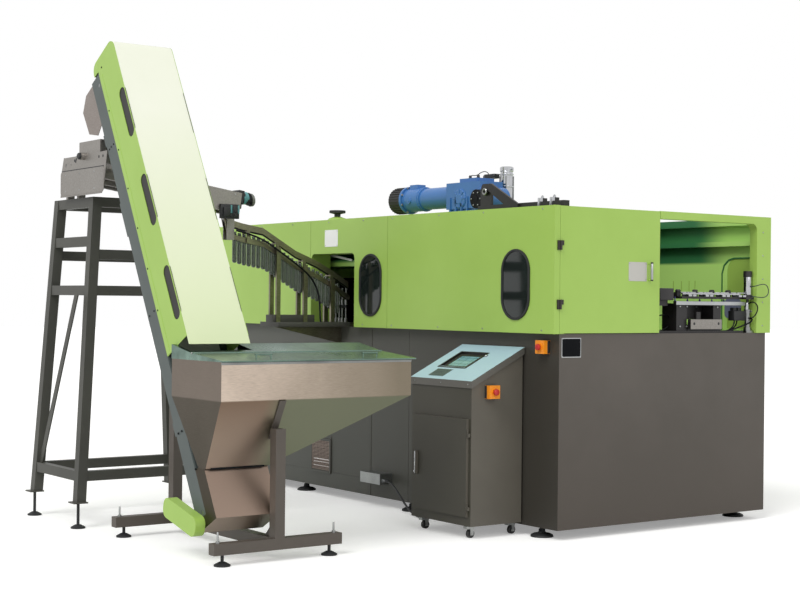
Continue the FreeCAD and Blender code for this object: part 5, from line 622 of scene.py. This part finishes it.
# Stretch cylinder: four tie rods and two end rings on the tube.
rods = [turned([(0, 0), (0.004, 0), (0.004, 0.262), (0, 0.262)], (-1.051 + across, 0.574 + along, 1.964),
               steps=12) for along in (0.0322, -0.0322) for across in (0.0322, -0.0322)]
fitted(rods, "cylinder_tie_rods", machined)
rings = [turned([(0.042, 0), (0.0475, 0.002), (0.0475, 0.01), (0.042, 0.012)], (-1.051, 0.574, z), steps=40)
         for z in (2.15, 2.232)]
fitted(rings, "cylinder_rings", polished)


def bent(points, radius):
    """A bent bar or tube: a round section along a smooth line, made a mesh."""
    return as_mesh(sheath("bent", points, radius, black_steel))


# Black head and knob of the pilot valve, and its bent tube down to the gearbox's first oil plug.
head = block((-1.2355, 0.5295, 2.2165), (-1.1305, 0.5785, 2.2475), 0.003, 3)
knob = turned([(0, 0.0246), (0.014, 0.0246), (0.0168, 0.022), (0.0168, 0.002), (0.014, 0)],
              (-1.235, 0.554, 2.232), (0, -90, 0), 24)
fitted([head, knob], "valve_head", black_moulding)
tube = bent([(-1.2, 0.54, 2.247), (-1.203, 0.536, 2.258), (-1.225, 0.528, 2.268), (-1.252, 0.515, 2.262),
             (-1.25, 0.49, 2.245), (-1.236, 0.45, 2.234), (-1.221, 0.412, 2.235), (-1.215, 0.398, 2.228)],
            0.0028)
fitted(tube, "pilot_tube", black_steel)


# ---- Operator console
# Folded sheet cabinet in the base's grey on four casters, with a pale lid that carries the touch screen
# in its black frame and the membrane keypad.

console_grey = powder_coat("console_grey_powder_coat", "#5D5950", "#545048", roughness=0.48,
                           front=("#3F3E35", "#37352C"))
dress(console_grey, "console_cabinet", "console_door")

lid_coat, tree, shader = new_material("pale_lid_powder_coat")
place = add(tree, "TexCoord", output="Object")
up = add(tree, "SeparateXYZ", {"Vector": add(tree, "NewGeometry", output="True Normal")}, output="Z")
face = add(tree, "Math", {0: up, 1: 0.6}, operation="GREATER_THAN")
cloud = add(tree, "TexNoise", {"Vector": place, "Scale": 4.0, "Detail": 4.0})
pale = add(tree, "Mix", {0: cloud, 6: linear("#B2CFD8"), 7: linear("#A5C4CE")}, data_type="RGBA", output=2)
grey = add(tree, "Mix", {0: cloud, 6: linear("#5F5D57"), 7: linear("#55534E")}, data_type="RGBA", output=2)
tone = add(tree, "Mix", {0: face, 6: grey, 7: pale}, data_type="RGBA", output=2)
parts = add(tree, "SeparateXYZ", {"Vector": place}).node.outputs
within = add(tree, "Math", {0: parts["X"], 1: -0.4649, 2: 0.1317}, operation="COMPARE")
depth = add(tree, "Math", {0: parts["Y"], 1: -0.2297, 2: 0.0878}, operation="COMPARE")
well = add(tree, "Math", {0: within, 1: depth}, operation="MULTIPLY")
tone = add(tree, "Mix", {0: well, 6: tone, 7: linear("#211F1E")}, data_type="RGBA", output=2)
skin = add(tree, "TexNoise", {"Vector": place, "Scale": 120.0})
bump = add(tree, "Bump", {"Height": skin, "Strength": 0.3, "Distance": 0.0002})
feed(shader, {"Base Color": tone, "Normal": bump, "Roughness": 0.38})
dress(lid_coat, "console_top")

lid_width, lid_depth, lid_rise = 0.58, 0.385, 0.188
slope = degrees(atan2(lid_rise, lid_depth))


def on_lid(across, share, rise):
    """A point over the sloping lid: a share of its width and of its depth, and a rise square to it."""
    turn = radians(slope)
    y, z = -0.451 + share * lid_depth, 0.905 + share * lid_rise
    return (-0.694 + across * lid_width, y - rise * sin(turn), z + rise * cos(turn))


slant_length = hypot(lid_depth, lid_rise)
lid_face = 0.022 * cos(radians(slope))
black_frame = moulded("screen_frame_abs", "#23211F", "#2A2826", 0.35, 0.002)
frame_size = (0.45 * lid_width, 0.45 * slant_length)
bezel = flat([rounded(frame_size[0] + 0.016, frame_size[1] + 0.016, 0.004),
              rounded(frame_size[0] - 0.003, frame_size[1] - 0.003, 0.003)], 0.003,
             on_lid(0.395, 0.575, lid_face + 0.0012), (slope, 0, 0))
fitted(bezel, "screen_frame", black_frame)

glass, tree, shader = new_material("touch_screen_glass")
place = add(tree, "TexCoord", output="Object")
flow = add(tree, "Mapping", {"Vector": place, "Location": (0.465, 0.23, 0)})
tiles = add(tree, "TexBrick", {"Vector": flow, "Color1": linear("#7DA9B2"), "Color2": linear("#6C98A4"),
                               "Mortar": linear("#4A727D"), "Scale": 1.0, "Brick Width": 0.062,
                               "Row Height": 0.034, "Mortar Size": 0.0025}, offset=0.0)
feed(shader, {"Base Color": tiles, "Emission Color": tiles, "Emission Strength": 0.12, "Roughness": 0.08,
              "Coat Weight": 0.6})
pane = flat([rounded(0.184, 0.134, 0.003)], 0.002, on_lid(0.385, 0.565, 0.01), (slope, 0, 0))
fitted(pane, "touch_screen", glass)
surround = flat([rounded(0.254, 0.186, 0.003), rounded(0.176, 0.126, 0.003)], 0.0034,
                on_lid(0.395, 0.575, 0.01), (slope, 0, 0))
fitted(surround, "screen_surround", black_frame)

membrane = moulded("membrane_keypad", "#5C6D66", "#53635D", 0.4, 0.002)
key_top = moulded("keypad_keys", "#3C4A45", "#475650", 0.45, 0.002)
pad = flat([rounded(0.25 * lid_width, 0.2 * slant_length, 0.003)], 0.0024,
           on_lid(0.345, 0.18, lid_face + 0.0012), (slope, 0, 0))
fitted(pad, "keypad_sheet", membrane)
keys = []
for row in range(4):
    for column in range(6):
        place = on_lid(0.345 + (column - 2.5) * 0.0385, 0.18 + (row - 1.5) * 0.0455, lid_face + 0.003)
        keys.append(flat([rounded(0.0175, 0.0145, 0.003, 3)], 0.0016, place, (slope, 0, 0)))
fitted(keys, "keypad_keys", key_top)

# Key switch beside the screen, and the screws of the lid's rim.
switch = turned([(0, 0.01), (0.006, 0.009), (0.009, 0.006), (0.009, 0.003), (0.012, 0.003), (0.012, 0),
                 (0, 0)], on_lid(0.655, 0.72, lid_face), (slope, 0, 0), 24)
fitted(switch, "console_key_switch", zinc)
round_screws("lid_screws", [(x, -0.459, 0.903) for x in (-0.66, -0.4, -0.14)], (90, 0, 0), 0.004, 0.003)

# Door handle: a slim polished bar over the grip, with a lock button at its foot.
grip = block((-0.625, -0.4866, 0.342), (-0.615, -0.48, 0.478), 0.003, 3)
button = bolt_head(0.007, 0.004, 0.005, 0.002, (-0.62, -0.4864, 0.356), (90, 0, 0), 20)
fitted([grip, button], "console_door_grip", polished, "console_door")

# Casters: zinc forks, dark grey rubber wheels with a hub cap.
wheel_grey = moulded("grey_rubber_tread", "#2B2B2C", "#343434", 0.6, 0.003)
for corner, x, y in (("front_left", -0.624, -0.397), ("front_right", -0.184, -0.397),
                     ("rear_left", -0.624, -0.084), ("rear_right", -0.184, -0.084)):
    dress(zinc, "caster_fork_" + corner)
    dress(wheel_grey, "caster_wheel_" + corner)
    cap = turned([(0, 0.0012), (0.0085, 0.0012), (0.0095, 0), (0.0165, 0), (0.0175, -0.0012), (0, -0.0012)],
                 steps=24)
    fitted(repeated(cap, [(x + 0.0101, y, 0.025)], (0, 90, 0)), "caster_cap_" + corner, black_moulding,
           "caster_wheel_" + corner)

# Emergency stops: orange boxes with a black gasket, red mushroom heads.
orange = moulded("orange_abs_box", "#F2951E", "#E98A18", 0.35, 0.003)
red = moulded("red_mushroom_head", "#C02A28", "#B02422", 0.28, 0.002)
dress(orange, "estop_boxes")
dress(red, "estop_button_base", "estop_button_console")
dome = [(0, 0.003), (0.008, 0.0028), (0.0145, 0.0016), (0.0183, -0.001), (0.0188, -0.0045), (0.0186, -0.0115),
        (0.017, -0.0118)]
stops = (("base", (0.076, -0.0632, 1.124), (90, 0, 0), (0.076, -0.1195, 1.124), (90, 0, 0)),
         ("console", (-0.1038, -0.314, 0.858), (90, 0, 90), (-0.0475, -0.314, 0.858), (0, 90, 0)))
for stop, place, angles, head_place, head_angles in stops:
    gasket = flat([rounded(0.0805, 0.0805, 0.006)], 0.02, place, angles, 0.002)
    fitted(gasket, "estop_gasket_" + stop, black_moulding)
    fitted(turned(dome, head_place, head_angles, 40), "estop_head_" + stop, red,
           "estop_button_" + stop)


# ---- Preform hopper, lid and floor frame
# Folded and welded 3 mm stainless sheet with a brushed finish: skirt, funnel and boot. The frame is
# square tube in a brown-grey coat. The lid swings up on a knuckle hinge.

brushed = metal("brushed_stainless_sheet", "#DDCBBB", "#B3A496", 0.38, stretch=(0.25, 0.25, 6), grain=0.008,
                spots=0.05)
# Painted reflection and painted shade: the sheets stand at different angles to the bright floor and the green
# machine, so the near end carries painted shade, the slanting walls under the skirt carry painted pink-brown
# and greener reflections, and the side towards the machine carries painted shade; the boot has a browner
# tone.
tree = brushed.node_tree
shader = tree.nodes["Principled BSDF"]
tone = shader.inputs["Base Color"].links[0].from_socket
facing = add(tree, "SeparateXYZ", {"Vector": add(tree, "NewGeometry", output="True Normal")}).node.outputs
at = add(tree, "SeparateXYZ", {"Vector": add(tree, "TexCoord", output="Object")}).node.outputs
# Painted shade towards the machine, and a browner tone on the boot.
right = add(tree, "MapRange", {"Value": at["Y"], "From Min": -1.95, "From Max": -1.0, "To Max": 0.9})
tone = add(tree, "Mix", {0: right, 6: tone, 7: linear("#7F7665")}, data_type="RGBA", output=2)
boot = add(tree, "MapRange", {"Value": at["Z"], "From Min": 0.49, "From Max": 0.486})
tone = add(tree, "Mix", {0: boot, 6: tone, 7: linear("#9C887A")}, data_type="RGBA", output=2)
# Painted reflections on the slanting walls under the skirt: pink-brown, darker towards the top, greener
# towards the machine.
low = add(tree, "MapRange", {"Value": at["Z"], "From Min": 0.86, "From Max": 0.852})
funnel = add(tree, "MapRange", {"Value": at["Z"], "From Min": 0.46, "From Max": 0.86})
wall = add(tree, "Mix", {0: funnel, 6: linear("#B8A596"), 7: linear("#857060")}, data_type="RGBA", output=2)
far = add(tree, "MapRange", {"Value": at["Y"], "From Min": -1.86, "From Max": -1.72})
wall = add(tree, "Mix", {0: far, 6: wall, 7: linear("#7B7E6A")}, data_type="RGBA", output=2)
slanted = add(tree, "MapRange", {"Value": facing["Z"], "From Min": -0.05, "From Max": -0.2})
under = add(tree, "Math", {0: low, 1: slanted}, operation="MULTIPLY")
tone = add(tree, "Mix", {0: under, 6: tone, 7: wall}, data_type="RGBA", output=2)
# Painted shade on the faces towards the near end, darkest under the skirt.
end = add(tree, "MapRange", {"Value": facing["Y"], "From Min": -0.45, "From Max": -0.9, "To Max": 0.9})
shade = add(tree, "Mix", {0: low, 6: linear("#6C6259"), 7: linear("#322E22")}, data_type="RGBA", output=2)
tone = add(tree, "Mix", {0: end, 6: tone, 7: shade}, data_type="RGBA", output=2)
feed(shader, {"Base Color": tone})

# The lid's green tint is a painted reflection of the green machine and elevator around it.
lid_metal = metal("satin_stainless_lid", "#86A094", "#5C6F66", 0.3, stretch=(0.3, 6, 0.3), grain=0.02,
                  spots=0.03)
frame_coat = powder_coat("brown_grey_powder_coat", "#575049", "#4D4741", roughness=0.46)
dress(brushed, "hopper_body")
dress(lid_metal, "hopper_lid", "hopper_cover")
dress(frame_coat, "hopper_frame")

# Folded rim of the skirt's open front, under the lid, and the seam between funnel and boot.
rim = block((-0.076, -2.129, 1.045), (-0.0715, -0.917, 1.0596), 0.0012)
fitted(rim, "skirt_rim", machined)
seam = block((-0.35, -2.075, 0.485), (-0.269, -1.75, 0.4925), 0.0012)
fitted(seam, "boot_seam", black_steel)

# Near end of the lid's hinge pin.
pin = bolt_head(0.0062, 0.004, 0.004, 0.002, (-0.394, -2.13, 1.096), (90, 0, 0), 16)
fitted(pin, "lid_hinge_end", machined)

# Foot screws of the frame, standing out of the bar over each foot with a lock nut.
nuts = turned([(0, 0.058), (0.0045, 0.058), (0.0055, 0.056), (0.0055, 0.01), (0.011, 0.01), (0.011, 0),
               (0, 0)], steps=12)
fitted(repeated(nuts, [(x, y, 0.12) for x in (-0.12, -1.284) for y in (-2.115, -1.397)]), "frame_foot_nuts",
       zinc)


# ---- Belt elevator
# Two folded channels carry the belt between a tail and a head roller, with green side panels, a pale
# front cover that wraps over the head, and a green pan over the chain.

channel_coat = powder_coat("channel_powder_coat", "#4F5856", "#474F4E", roughness=0.45, dust=0.2)
cover_coat = powder_coat("pale_cover_powder_coat", "#EBEDDD", "#E7EAD8", roughness=0.4,
                         foot=("#D2DFAD", 0.9, 2.5))
slot_black = moulded("slot_plate_abs", "#191516", "#131011", 0.45, 0.004)
belt_skin = moulded("polyurethane_belt", "#DDE3DA", "#CBD3C8", 0.45, 0.006)
dress(channel_coat, "elevator_frame")
dress(green, "elevator_side_panels", "chain_guard")
dress(cover_coat, "elevator_cover")
dress(belt_skin, "elevator_belt")
dress(machined, "tail_roller", "head_roller")
spout_sheet = metal("satin_spout_sheet", "#A89F99", "#8A817B", 0.44, stretch=(0.3, 0.3, 4), grain=0.01,
                    spots=0.08)
dress(spout_sheet, "discharge_spout")

incline = 29.25


def on_slope(across, y, along):
    """A point of the elevator: across its depth, along Y, and along its slope."""
    tilt = radians(incline)
    return Vector((-0.361 + across * cos(tilt) - along * sin(tilt), -2.106 + y,
                   0.201 + across * sin(tilt) + along * cos(tilt)))


def upright(outlines, thickness, place):
    """A flat piece in the plane of the elevator's side, turned to its slope."""
    return flat(outlines, thickness, place, (90, -incline, 0))


# Plain black plates behind the slots of both side panels.
slots = [1.221 + 0.598 * number for number in range(3)]
plates = [upright([rounded(0.092, 0.346, 0.045, 8)], 0.002, on_slope(0.317, y, along))
          for along in slots for y in (0.0046, 0.3804)]
fitted(plates, "slot_plates", slot_black)

# Folded edge of each side panel over the channel, with small black screws along it and on the channel.
edge_length, edge_middle = 1.87, 1.868
edges = [upright([rounded(0.038, edge_length, 0.001, 1)], 0.0016, on_slope(0.13, y, edge_middle))
         for y in (-0.0006, 0.3856)]
fitted(edges, "side_panel_edges", green)
spots = [on_slope(0.128, -0.0013, along) for along in (1.21, 1.477, 1.744, 2.011, 2.278, 2.553)]
spots += [on_slope(0.159, -0.0003, 2.846), on_slope(0.084, -0.0003, 2.347), on_slope(0.05, -0.0003, 2.35),
          on_slope(0.024, -0.0003, 2.349), on_slope(0.084, -0.0003, 1.23), on_slope(0.024, -0.0003, 1.23)]
head = turned([(0, 0.0026), (0.0042, 0.0024), (0.0056, 0.0012), (0.0058, 0), (0, 0)], steps=16)
fitted(repeated(head, spots, (90, 0, 0)), "elevator_screws", black_steel)

# Two bolts of the tail roller's bearing on the near channel.
bolts = [(-0.58, -2.1062, 0.654), (-0.541, -2.1062, 0.67), (-0.38, -2.1062, 0.48)]
fitted(repeated(bolt_head(0.0065, 0.006, 0.005, 0.004), bolts, (90, 0, 0)), "bearing_bolts", black_steel)


# ---- Stand with roller sorter
# A welded stand of square tube on four levelling feet; the sorter is a folded trough of dull steel
# with two turned rollers, a tray, an end plate and a small gear motor.

stand_coat = powder_coat("graphite_powder_coat", "#45453F", "#3D3D38", roughness=0.5, dust=0.2)
sorter_sheet = metal("dull_galvanised_sheet", "#A19D98", "#8F8B86", 0.5, grain=0.01, depth=0.00003,
                     spots=0.12)
dress(stand_coat, "stand_frame")
dress(sorter_sheet, "sorter_housing")
dress(machined, "sorter_roller_left", "sorter_roller_right")
motor_grey = powder_coat("small_motor_enamel", "#5E9C9E", "#4C8588", roughness=0.34, peel=0.02)
cap_grey = powder_coat("motor_cover_enamel", "#73766E", "#666961", roughness=0.4, peel=0.02)
dress(black_moulding, "sorter_motor")

# The trough falls towards the chute, and its middle stands over the chute's.
fall = 8.5
chute_middle = -2.094


def on_sorter(across, down, up):
    """A point of the tilted sorter: across it, down its length and square to its floor."""
    tilt = radians(fall)
    return (chute_middle + across, -2.106 + down * cos(tilt) + up * sin(tilt),
            2.15 - down * sin(tilt) + up * cos(tilt))


# The sorter's motor: a teal band on its black body, cooling fins, and a grey end cover with a rim. The
# clutch hangs under the trough's end beside it.
band = turned([(0.04, -0.02), (0.0412, -0.019), (0.0412, 0.019), (0.04, 0.02)], on_sorter(0, 1.262, 0.1),
              (90 + fall, 0, 0), 32)
fitted(band, "sorter_motor_band", motor_grey)
fins = [turned([(0.0395, -0.0018), (0.045, -0.0012), (0.045, 0.0012), (0.0395, 0.0018)],
               on_sorter(0, down, 0.1), (90 + fall, 0, 0), 28) for down in (1.288, 1.296, 1.304)]
fitted(fins, "sorter_motor_fins", black_moulding)
side = -1.9975
clutch = [block((side, -1.085, 1.915), (side + 0.024, -0.945, 2.01), 0.004, 2),
          block((side + 0.02, -1.07, 1.93), (side + 0.04, -1.02, 1.99), 0.003, 2),
          block((side + 0.02, -0.995, 1.925), (side + 0.03, -0.96, 2.0), 0.003, 2)]
clutch += [bolt_head(0.01, 0.014, 0.008, 0.01, (side + 0.0205, y, z), (0, 90, 0), 16)
           for y, z in ((-1.04, 1.965), (-1.01, 1.935), (-0.978, 1.965), (-0.978, 1.94))]
fitted(clutch, "sorter_clutch", black_moulding)
plates = [block((side + 0.018, y, 1.95), (side + 0.027, y + 0.012, 2.005), 0.002, 2)
          for y in (-1.012, -0.958)]
fitted(plates, "clutch_plates", motor_grey)
cap = turned([(0, 0.004), (0.03, 0.004), (0.034, 0.007), (0.04, 0.007), (0.0435, 0.002), (0.0435, -0.016),
              (0.04, -0.016)], on_sorter(0, 1.321, 0.1), (90 - fall, 0, 180), 32)
fitted(cap, "sorter_motor_cover", cap_grey)

# Screws along the trough and the end plate, and the box's knob.
rows = [on_sorter(-0.0965, down, up) for down in (0.06, 0.35, 0.64, 0.93, 1.14) for up in (0.014, 0.098)]
round_screws("trough_screws_left", rows, (0, -90, 0), 0.005, 0.003)
rows = [on_sorter(0.0965, down, up) for down in (0.7, 0.93, 1.14) for up in (0.014, 0.098)]
round_screws("trough_screws_right", rows, (0, 90, 0), 0.005, 0.003)
rows = [(x, -2.1104, z) for x in (-2.11, -1.9, -1.69) for z in (2.045, 2.145)]
round_screws("end_plate_screws", rows, (90, 0, 0), 0.006, 0.004)
holes = [(x, -2.1101, z) for x, z in ((-1.978, 2.229), (-1.954, 2.235), (-1.962, 2.222), (-1.916, 2.24),
                                      (-1.627, 2.23), (-1.57, 2.231))]
hole = turned([(0, 0.0006), (0.0085, 0.0006), (0.0092, 0), (0, 0)], steps=20)
fitted(repeated(hole, holes, (90, 0, 0)), "end_plate_holes", black_moulding)
lower_plate = flat([rounded(0.63, 0.15, 0.022, 6)], 0.003, (-1.868, -2.1112, 2.094), (90, 0, 0), 0.001)
fitted(lower_plate, "sorter_lower_plate", sorter_sheet)
groove = block((-2.17, -2.1118, 2.169), (-1.56, -2.11, 2.1745), 0.0004, 1)
fitted(groove, "end_plate_joint", black_moulding)
knob = turned([(0, 0.016), (0.014, 0.016), (0.019, 0.012), (0.021, 0.002), (0.021, 0), (0, 0)],
              (-1.839, -2.1365, 2.246), (90, 0, 0), 24)
fitted(knob, "sorter_knob", black_moulding)


# ---- Chute with hanging preforms
# Two satin rails hold the preforms by their support rings. They are clear blanks with a threaded neck.

chute_steel = metal("chute_stainless", "#96907F", "#6E6A5C", 0.36, stretch=(1, 0.2, 1), grain=0.006)
dress(chute_steel, "chute_rails")

clear_pet, tree, shader = new_material("amorphous_pet")
place = add(tree, "TexCoord", output="Object")
cloud = add(tree, "TexNoise", {"Vector": place, "Scale": 40.0, "Detail": 2.0})
tone = add(tree, "Mix", {0: cloud, 6: linear("#8E998A"), 7: linear("#6C766A")}, data_type="RGBA", output=2)
gloss = add(tree, "MapRange", {"Value": cloud, "To Min": 0.05, "To Max": 0.12})
feed(shader, {"IOR": 1.57, "Transmission Weight": 0.72, "Base Color": tone, "Roughness": gloss})

chute_line = [(-1.011, 1.985), (-0.986, 1.88), (-0.951, 1.822), (-0.856, 1.8), (-0.693, 1.774),
              (-0.433, 1.627), (-0.262, 1.563), (-0.121, 1.493), (0.004, 1.42)]


def rail_top(y):
    """Height of the rails at a distance along Y."""
    for (y0, z0), (y1, z1) in zip(chute_line, chute_line[1:]):
        if y0 <= y <= y1:
            return z0 + (z1 - z0) * (y - y0) / (y1 - y0)
    return chute_line[-1][1]


# Guard strip over the necks, blackened steel, and the dark coat of the foot plate.
over = [(y, z + 0.0415) for y, z in chute_line]
under = [(y, z + 0.0525) for y, z in reversed(chute_line)]
fitted(flat([over + under], 0.0092, (chute_middle, 0, 0), (90, 0, 90)), "guard_strip", black_steel)
foot_plate = block((-2.2145, -0.6365, 1.2025), (-1.9735, -0.054, 1.2335), 0.0015)
foot_box = block((-2.14, -0.6365, 1.233), (-2.05, -0.3, 1.283), 0.002)
fitted([foot_plate, foot_box], "chute_foot_plate", stand_coat)

# Bent guard rod along the near rail and down to the foot plate.
rod = bent([(-2.04, y, z) for y, z in ((-0.93, 1.842), (-0.85, 1.828), (-0.714, 1.786), (-0.608, 1.722),
                                       (-0.5, 1.655), (-0.422, 1.606), (-0.36, 1.56), (-0.312, 1.506),
                                       (-0.28, 1.436), (-0.264, 1.351), (-0.258, 1.234))], 0.006)
fitted(rod, "guard_rod", black_steel)

# Neck with two thread turns and a tamper ring over the support ring, then the tapering tube.
preform_outline = [(0.0095, 0.0215), (0.0115, 0.0215), (0.012, 0.019), (0.0128, 0.0175), (0.012, 0.016),
                   (0.012, 0.0135), (0.0128, 0.012), (0.012, 0.0105), (0.012, 0.0075), (0.0135, 0.006),
                   (0.012, 0.0045), (0.012, 0.003), (0.017, 0.0026), (0.0174, 0.0014), (0.017, 0.0002),
                   (0.013, 0.0), (0.0128, -0.01), (0.0156, -0.026), (0.0157, -0.173), (0.0136, -0.1815),
                   (0.008, -0.1862), (0, -0.1878)]
blank = turned(preform_outline, steps=20)
hollow = [(0.0095, 0.0215), (0.0092, -0.01), (0.0086, -0.026), (0.0086, -0.172), (0.006, -0.1785),
          (0, -0.182)]
bore = turned(hollow, steps=20)
bpy.ops.object.mode_set(mode="EDIT")
bpy.ops.mesh.select_all(action="SELECT")
bpy.ops.mesh.flip_normals()
bpy.ops.object.mode_set(mode="OBJECT")
blank = together([blank, bore])
bpy.ops.object.mode_set(mode="EDIT")
bpy.ops.mesh.select_all(action="SELECT")
bpy.ops.mesh.remove_doubles(threshold=0.00002)
bpy.ops.object.mode_set(mode="OBJECT")
hung, y = [], -0.912
preform_pitch = 0.0375
while y < -0.075:
    top = max(rail_top(y - 0.009), rail_top(y), rail_top(y + 0.009))
    hung.append((chute_middle, y, top + 0.0003))
    here, there = Vector((y, rail_top(y))), Vector((y + 0.001, rail_top(y + 0.001)))
    y += preform_pitch / ((there - here).length / 0.001)
preforms = fitted(repeated(blank, hung), "hanging_preforms", clear_pet, smooth=40)
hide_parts("chute_preforms")


# ---- Outfeed bay: base, guide rail, jaws and cylinders
# Black oxide and anodised parts on the machine table take the bottles out by their necks.

bay_black = moulded("black_anodised_plate", "#262324", "#1C1A1B", 0.36, 0.005, depth=0.0001)
dress(bay_black, "outfeed_base", "gripper_bar")
dress(polished, "gripper_jaws_near", "gripper_jaws_far")
dress(machined, "lift_cylinder")

# Folded rim of the arch in the back wall, in a deep green that is painted shade at the opening's edge, and
# four slots beside it.
arch_rim_painted_shade = powder_coat("deep_green_painted_shade", "#3F7C4A", "#35703F", roughness=0.4)
arch = [(0.178, -0.25), (0.178, 0.135), (0.16, 0.19), (0.12, 0.225), (0.07, 0.238), (-0.07, 0.238),
        (-0.12, 0.225), (-0.16, 0.19), (-0.178, 0.135), (-0.178, -0.25)]
hole = [(x * 0.955, z if z < 0 else z * 0.965) for x, z in arch]
ring = flat([arch, hole], 0.004, (-0.032, 1.7505, 1.458), (90, 0, 0))
fitted(ring, "arch_rim", arch_rim_painted_shade)
marks = [block((x - 0.003, 1.7505, 1.462), (x + 0.003, 1.7528, 1.542), 0.0005, 1)
         for x in (-0.652, -0.576, -0.505, -0.451)]
fitted(marks, "wall_slots", green)

# Silver anodised rails under and on the gripper bar.
rail = block((0.1455, 0.93, 1.3785), (0.1722, 1.5585, 1.4015), 0.0015)
fitted(rail, "guide_rail_cover", silver)
upper_rail = block((0.13, 0.989, 1.4235), (0.15, 1.5, 1.4315), 0.001)
fitted(upper_rail, "jaw_rail", silver, "gripper_bar")

# Air tubes beside the lift cylinder and on the bay's floor, the cylinder's bright head, and the valve.
loop = bent([(0.164, 1.588, 1.39), (0.188, 1.59, 1.399), (0.205, 1.592, 1.401), (0.215, 1.606, 1.394),
             (0.218, 1.622, 1.375), (0.217, 1.622, 1.345), (0.21, 1.608, 1.315), (0.2, 1.592, 1.3),
             (0.184, 1.587, 1.298), (0.163, 1.586, 1.297)], 0.004)
low_hoses = [bent([(0.16, 1.592, 1.296), (0.178, 1.602, 1.296), (0.197, 1.6, 1.287), (0.2, 1.565, 1.266),
                   (0.19, 1.515, 1.25), (0.172, 1.462, 1.229), (0.15, 1.425, 1.2105),
                   (0.118, 1.392, 1.2078)], 0.005),
             bent([(0.136, 1.52, 1.29), (0.138, 1.516, 1.262), (0.134, 1.492, 1.232), (0.122, 1.452, 1.213),
                   (0.098, 1.415, 1.2073)], 0.0045),
             bent([(0.15, 1.48, 1.29), (0.154, 1.474, 1.262), (0.156, 1.45, 1.234), (0.148, 1.41, 1.214),
                   (0.128, 1.37, 1.2073)], 0.0045),
             bent([(0.06, 0.86, 1.3), (0.075, 0.9, 1.318), (0.08, 0.95, 1.312), (0.078, 0.99, 1.28),
                   (0.07, 0.96, 1.235), (0.06, 0.9, 1.212)], 0.004)]
head = turned([(0.0046, 0), (0.015, 0), (0.015, 0.038), (0.0135, 0.043), (0.0046, 0.043), (0.0046, 0)],
              (0.156, 1.587, 1.353), steps=28)
fitted(head, "lift_cylinder_head", polished)
fitted(loop, "lift_air_tube", black_steel)
fitted(low_hoses, "bay_air_tubes", black_steel)
valve = [block((0.112, 1.462, 1.281), (0.164, 1.576, 1.344), 0.004, 2),
         block((0.12, 1.47, 1.343), (0.15, 1.5, 1.364), 0.003, 2),
         block((0.12, 1.512, 1.343), (0.15, 1.542, 1.364), 0.003, 2)]
fitted(valve, "lift_valve", black_moulding)

# Blue-grey flap in the back wall's arch.
flap_coat = powder_coat("blue_grey_powder_coat_flap", "#7A7F96", "#70758C", roughness=0.4)
flap = flat([rounded(0.144, 0.129, 0.03)], 0.003, (-0.11, 1.752, 1.3575), (90, 0, 0))
fitted(flap, "wall_flap", flap_coat)

# Crossed links of the jaws, one pair for each neck, and the knobs that clamp them to the bar.
first_jaw, jaw_pitch = 1.059, 0.152
crosses = []
for number in range(4):
    for turn in (38, -38):
        bar = block((-0.068, -0.006, 0.0), (0.04, 0.006, 0.006), 0.0012, 1)
        bar.location += Vector((0.15, first_jaw + jaw_pitch * number, 1.4546))
        bar.rotation_euler = (0, 0, radians(turn))
        crosses.append(bar)
fitted(crosses, "jaw_crosses", polished, "gripper_bar")
knobs = turned([(0, 0.018), (0.012, 0.018), (0.017, 0.013), (0.018, 0.004), (0.015, 0), (0, 0)], steps=24)
fitted(repeated(knobs, [(0.112, first_jaw + jaw_pitch * number - 0.055, 1.458) for number in range(4)]),
       "jaw_knobs", bay_black, "gripper_bar")

# Steel face of the bracket with two fixing holes, and the jaw cylinder's polished tube.
board = flat([rounded(0.28, 0.062, 0.003)], 0.0012, (0.1716, 1.199, 1.258), (90, 0, 90))
fitted(board, "bracket_face", sorter_sheet)
hole = turned([(0, 0.0006), (0.0075, 0.0006), (0.009, 0), (0, 0)], steps=20)
fitted(repeated(hole, [(0.1722, y, 1.262) for y in (1.09, 1.31)], (0, 90, 0)), "bracket_holes",
       black_moulding)
tube = turned([(0.0256, 0), (0.0262, 0.002), (0.0262, 0.112), (0.0256, 0.114)], (0.156, 1.594, 1.4475),
              steps=32)
fitted(tube, "jaw_cylinder_tube", polished, "gripper_bar")

# Block at the rail's near end, a row of blue push-in fittings, and the bolts of the base.
block_face = block((0.1305, 0.789, 1.406), (0.1716, 0.91, 1.481), 0.008, 3)
fitted(block_face, "rail_end_block", bay_black)
hose_stubs = [turned([(0, 0.03), (0.0035, 0.028), (0.0035, 0.01), (0.006, 0.01), (0.006, 0), (0, 0)],
                     (0.14, 0.95 + 0.11 * number, 1.401), steps=12) for number in range(5)]
blue_fittings = moulded("blue_push_fitting", "#37357A", "#2E2C6B", 0.35, 0.002)
fitted(hose_stubs, "air_fittings", blue_fittings)
bolts = [(0.145, y, z) for y in (0.989, 1.05) for z in (1.244, 1.369)]
bolts += [(0.045, 1.241, 1.366), (0.145, 1.325, 1.366)]
fitted(repeated(bolt_head(0.0065, 0.005, 0.005, 0.003), bolts, (0, 90, 0)), "outfeed_bolts", zinc)


# ---- Clamp, moulds, stretch carriage and oven inside the enclosure
# They show through the infeed, the roof's openings and the bay: machined plates, bored aluminium moulds
# and lamp banks.

mould_metal = metal("tooling_aluminium", "#C3C5C6", "#9DA0A2", 0.34, stretch=(8, 1, 1), grain=0.005)
dress(machined, "clamp_frame", "stretch_carriage")
dress(mould_metal, "mould_carrier_front", "mould_carrier_rear")
dress(black_steel, "oven_unit")
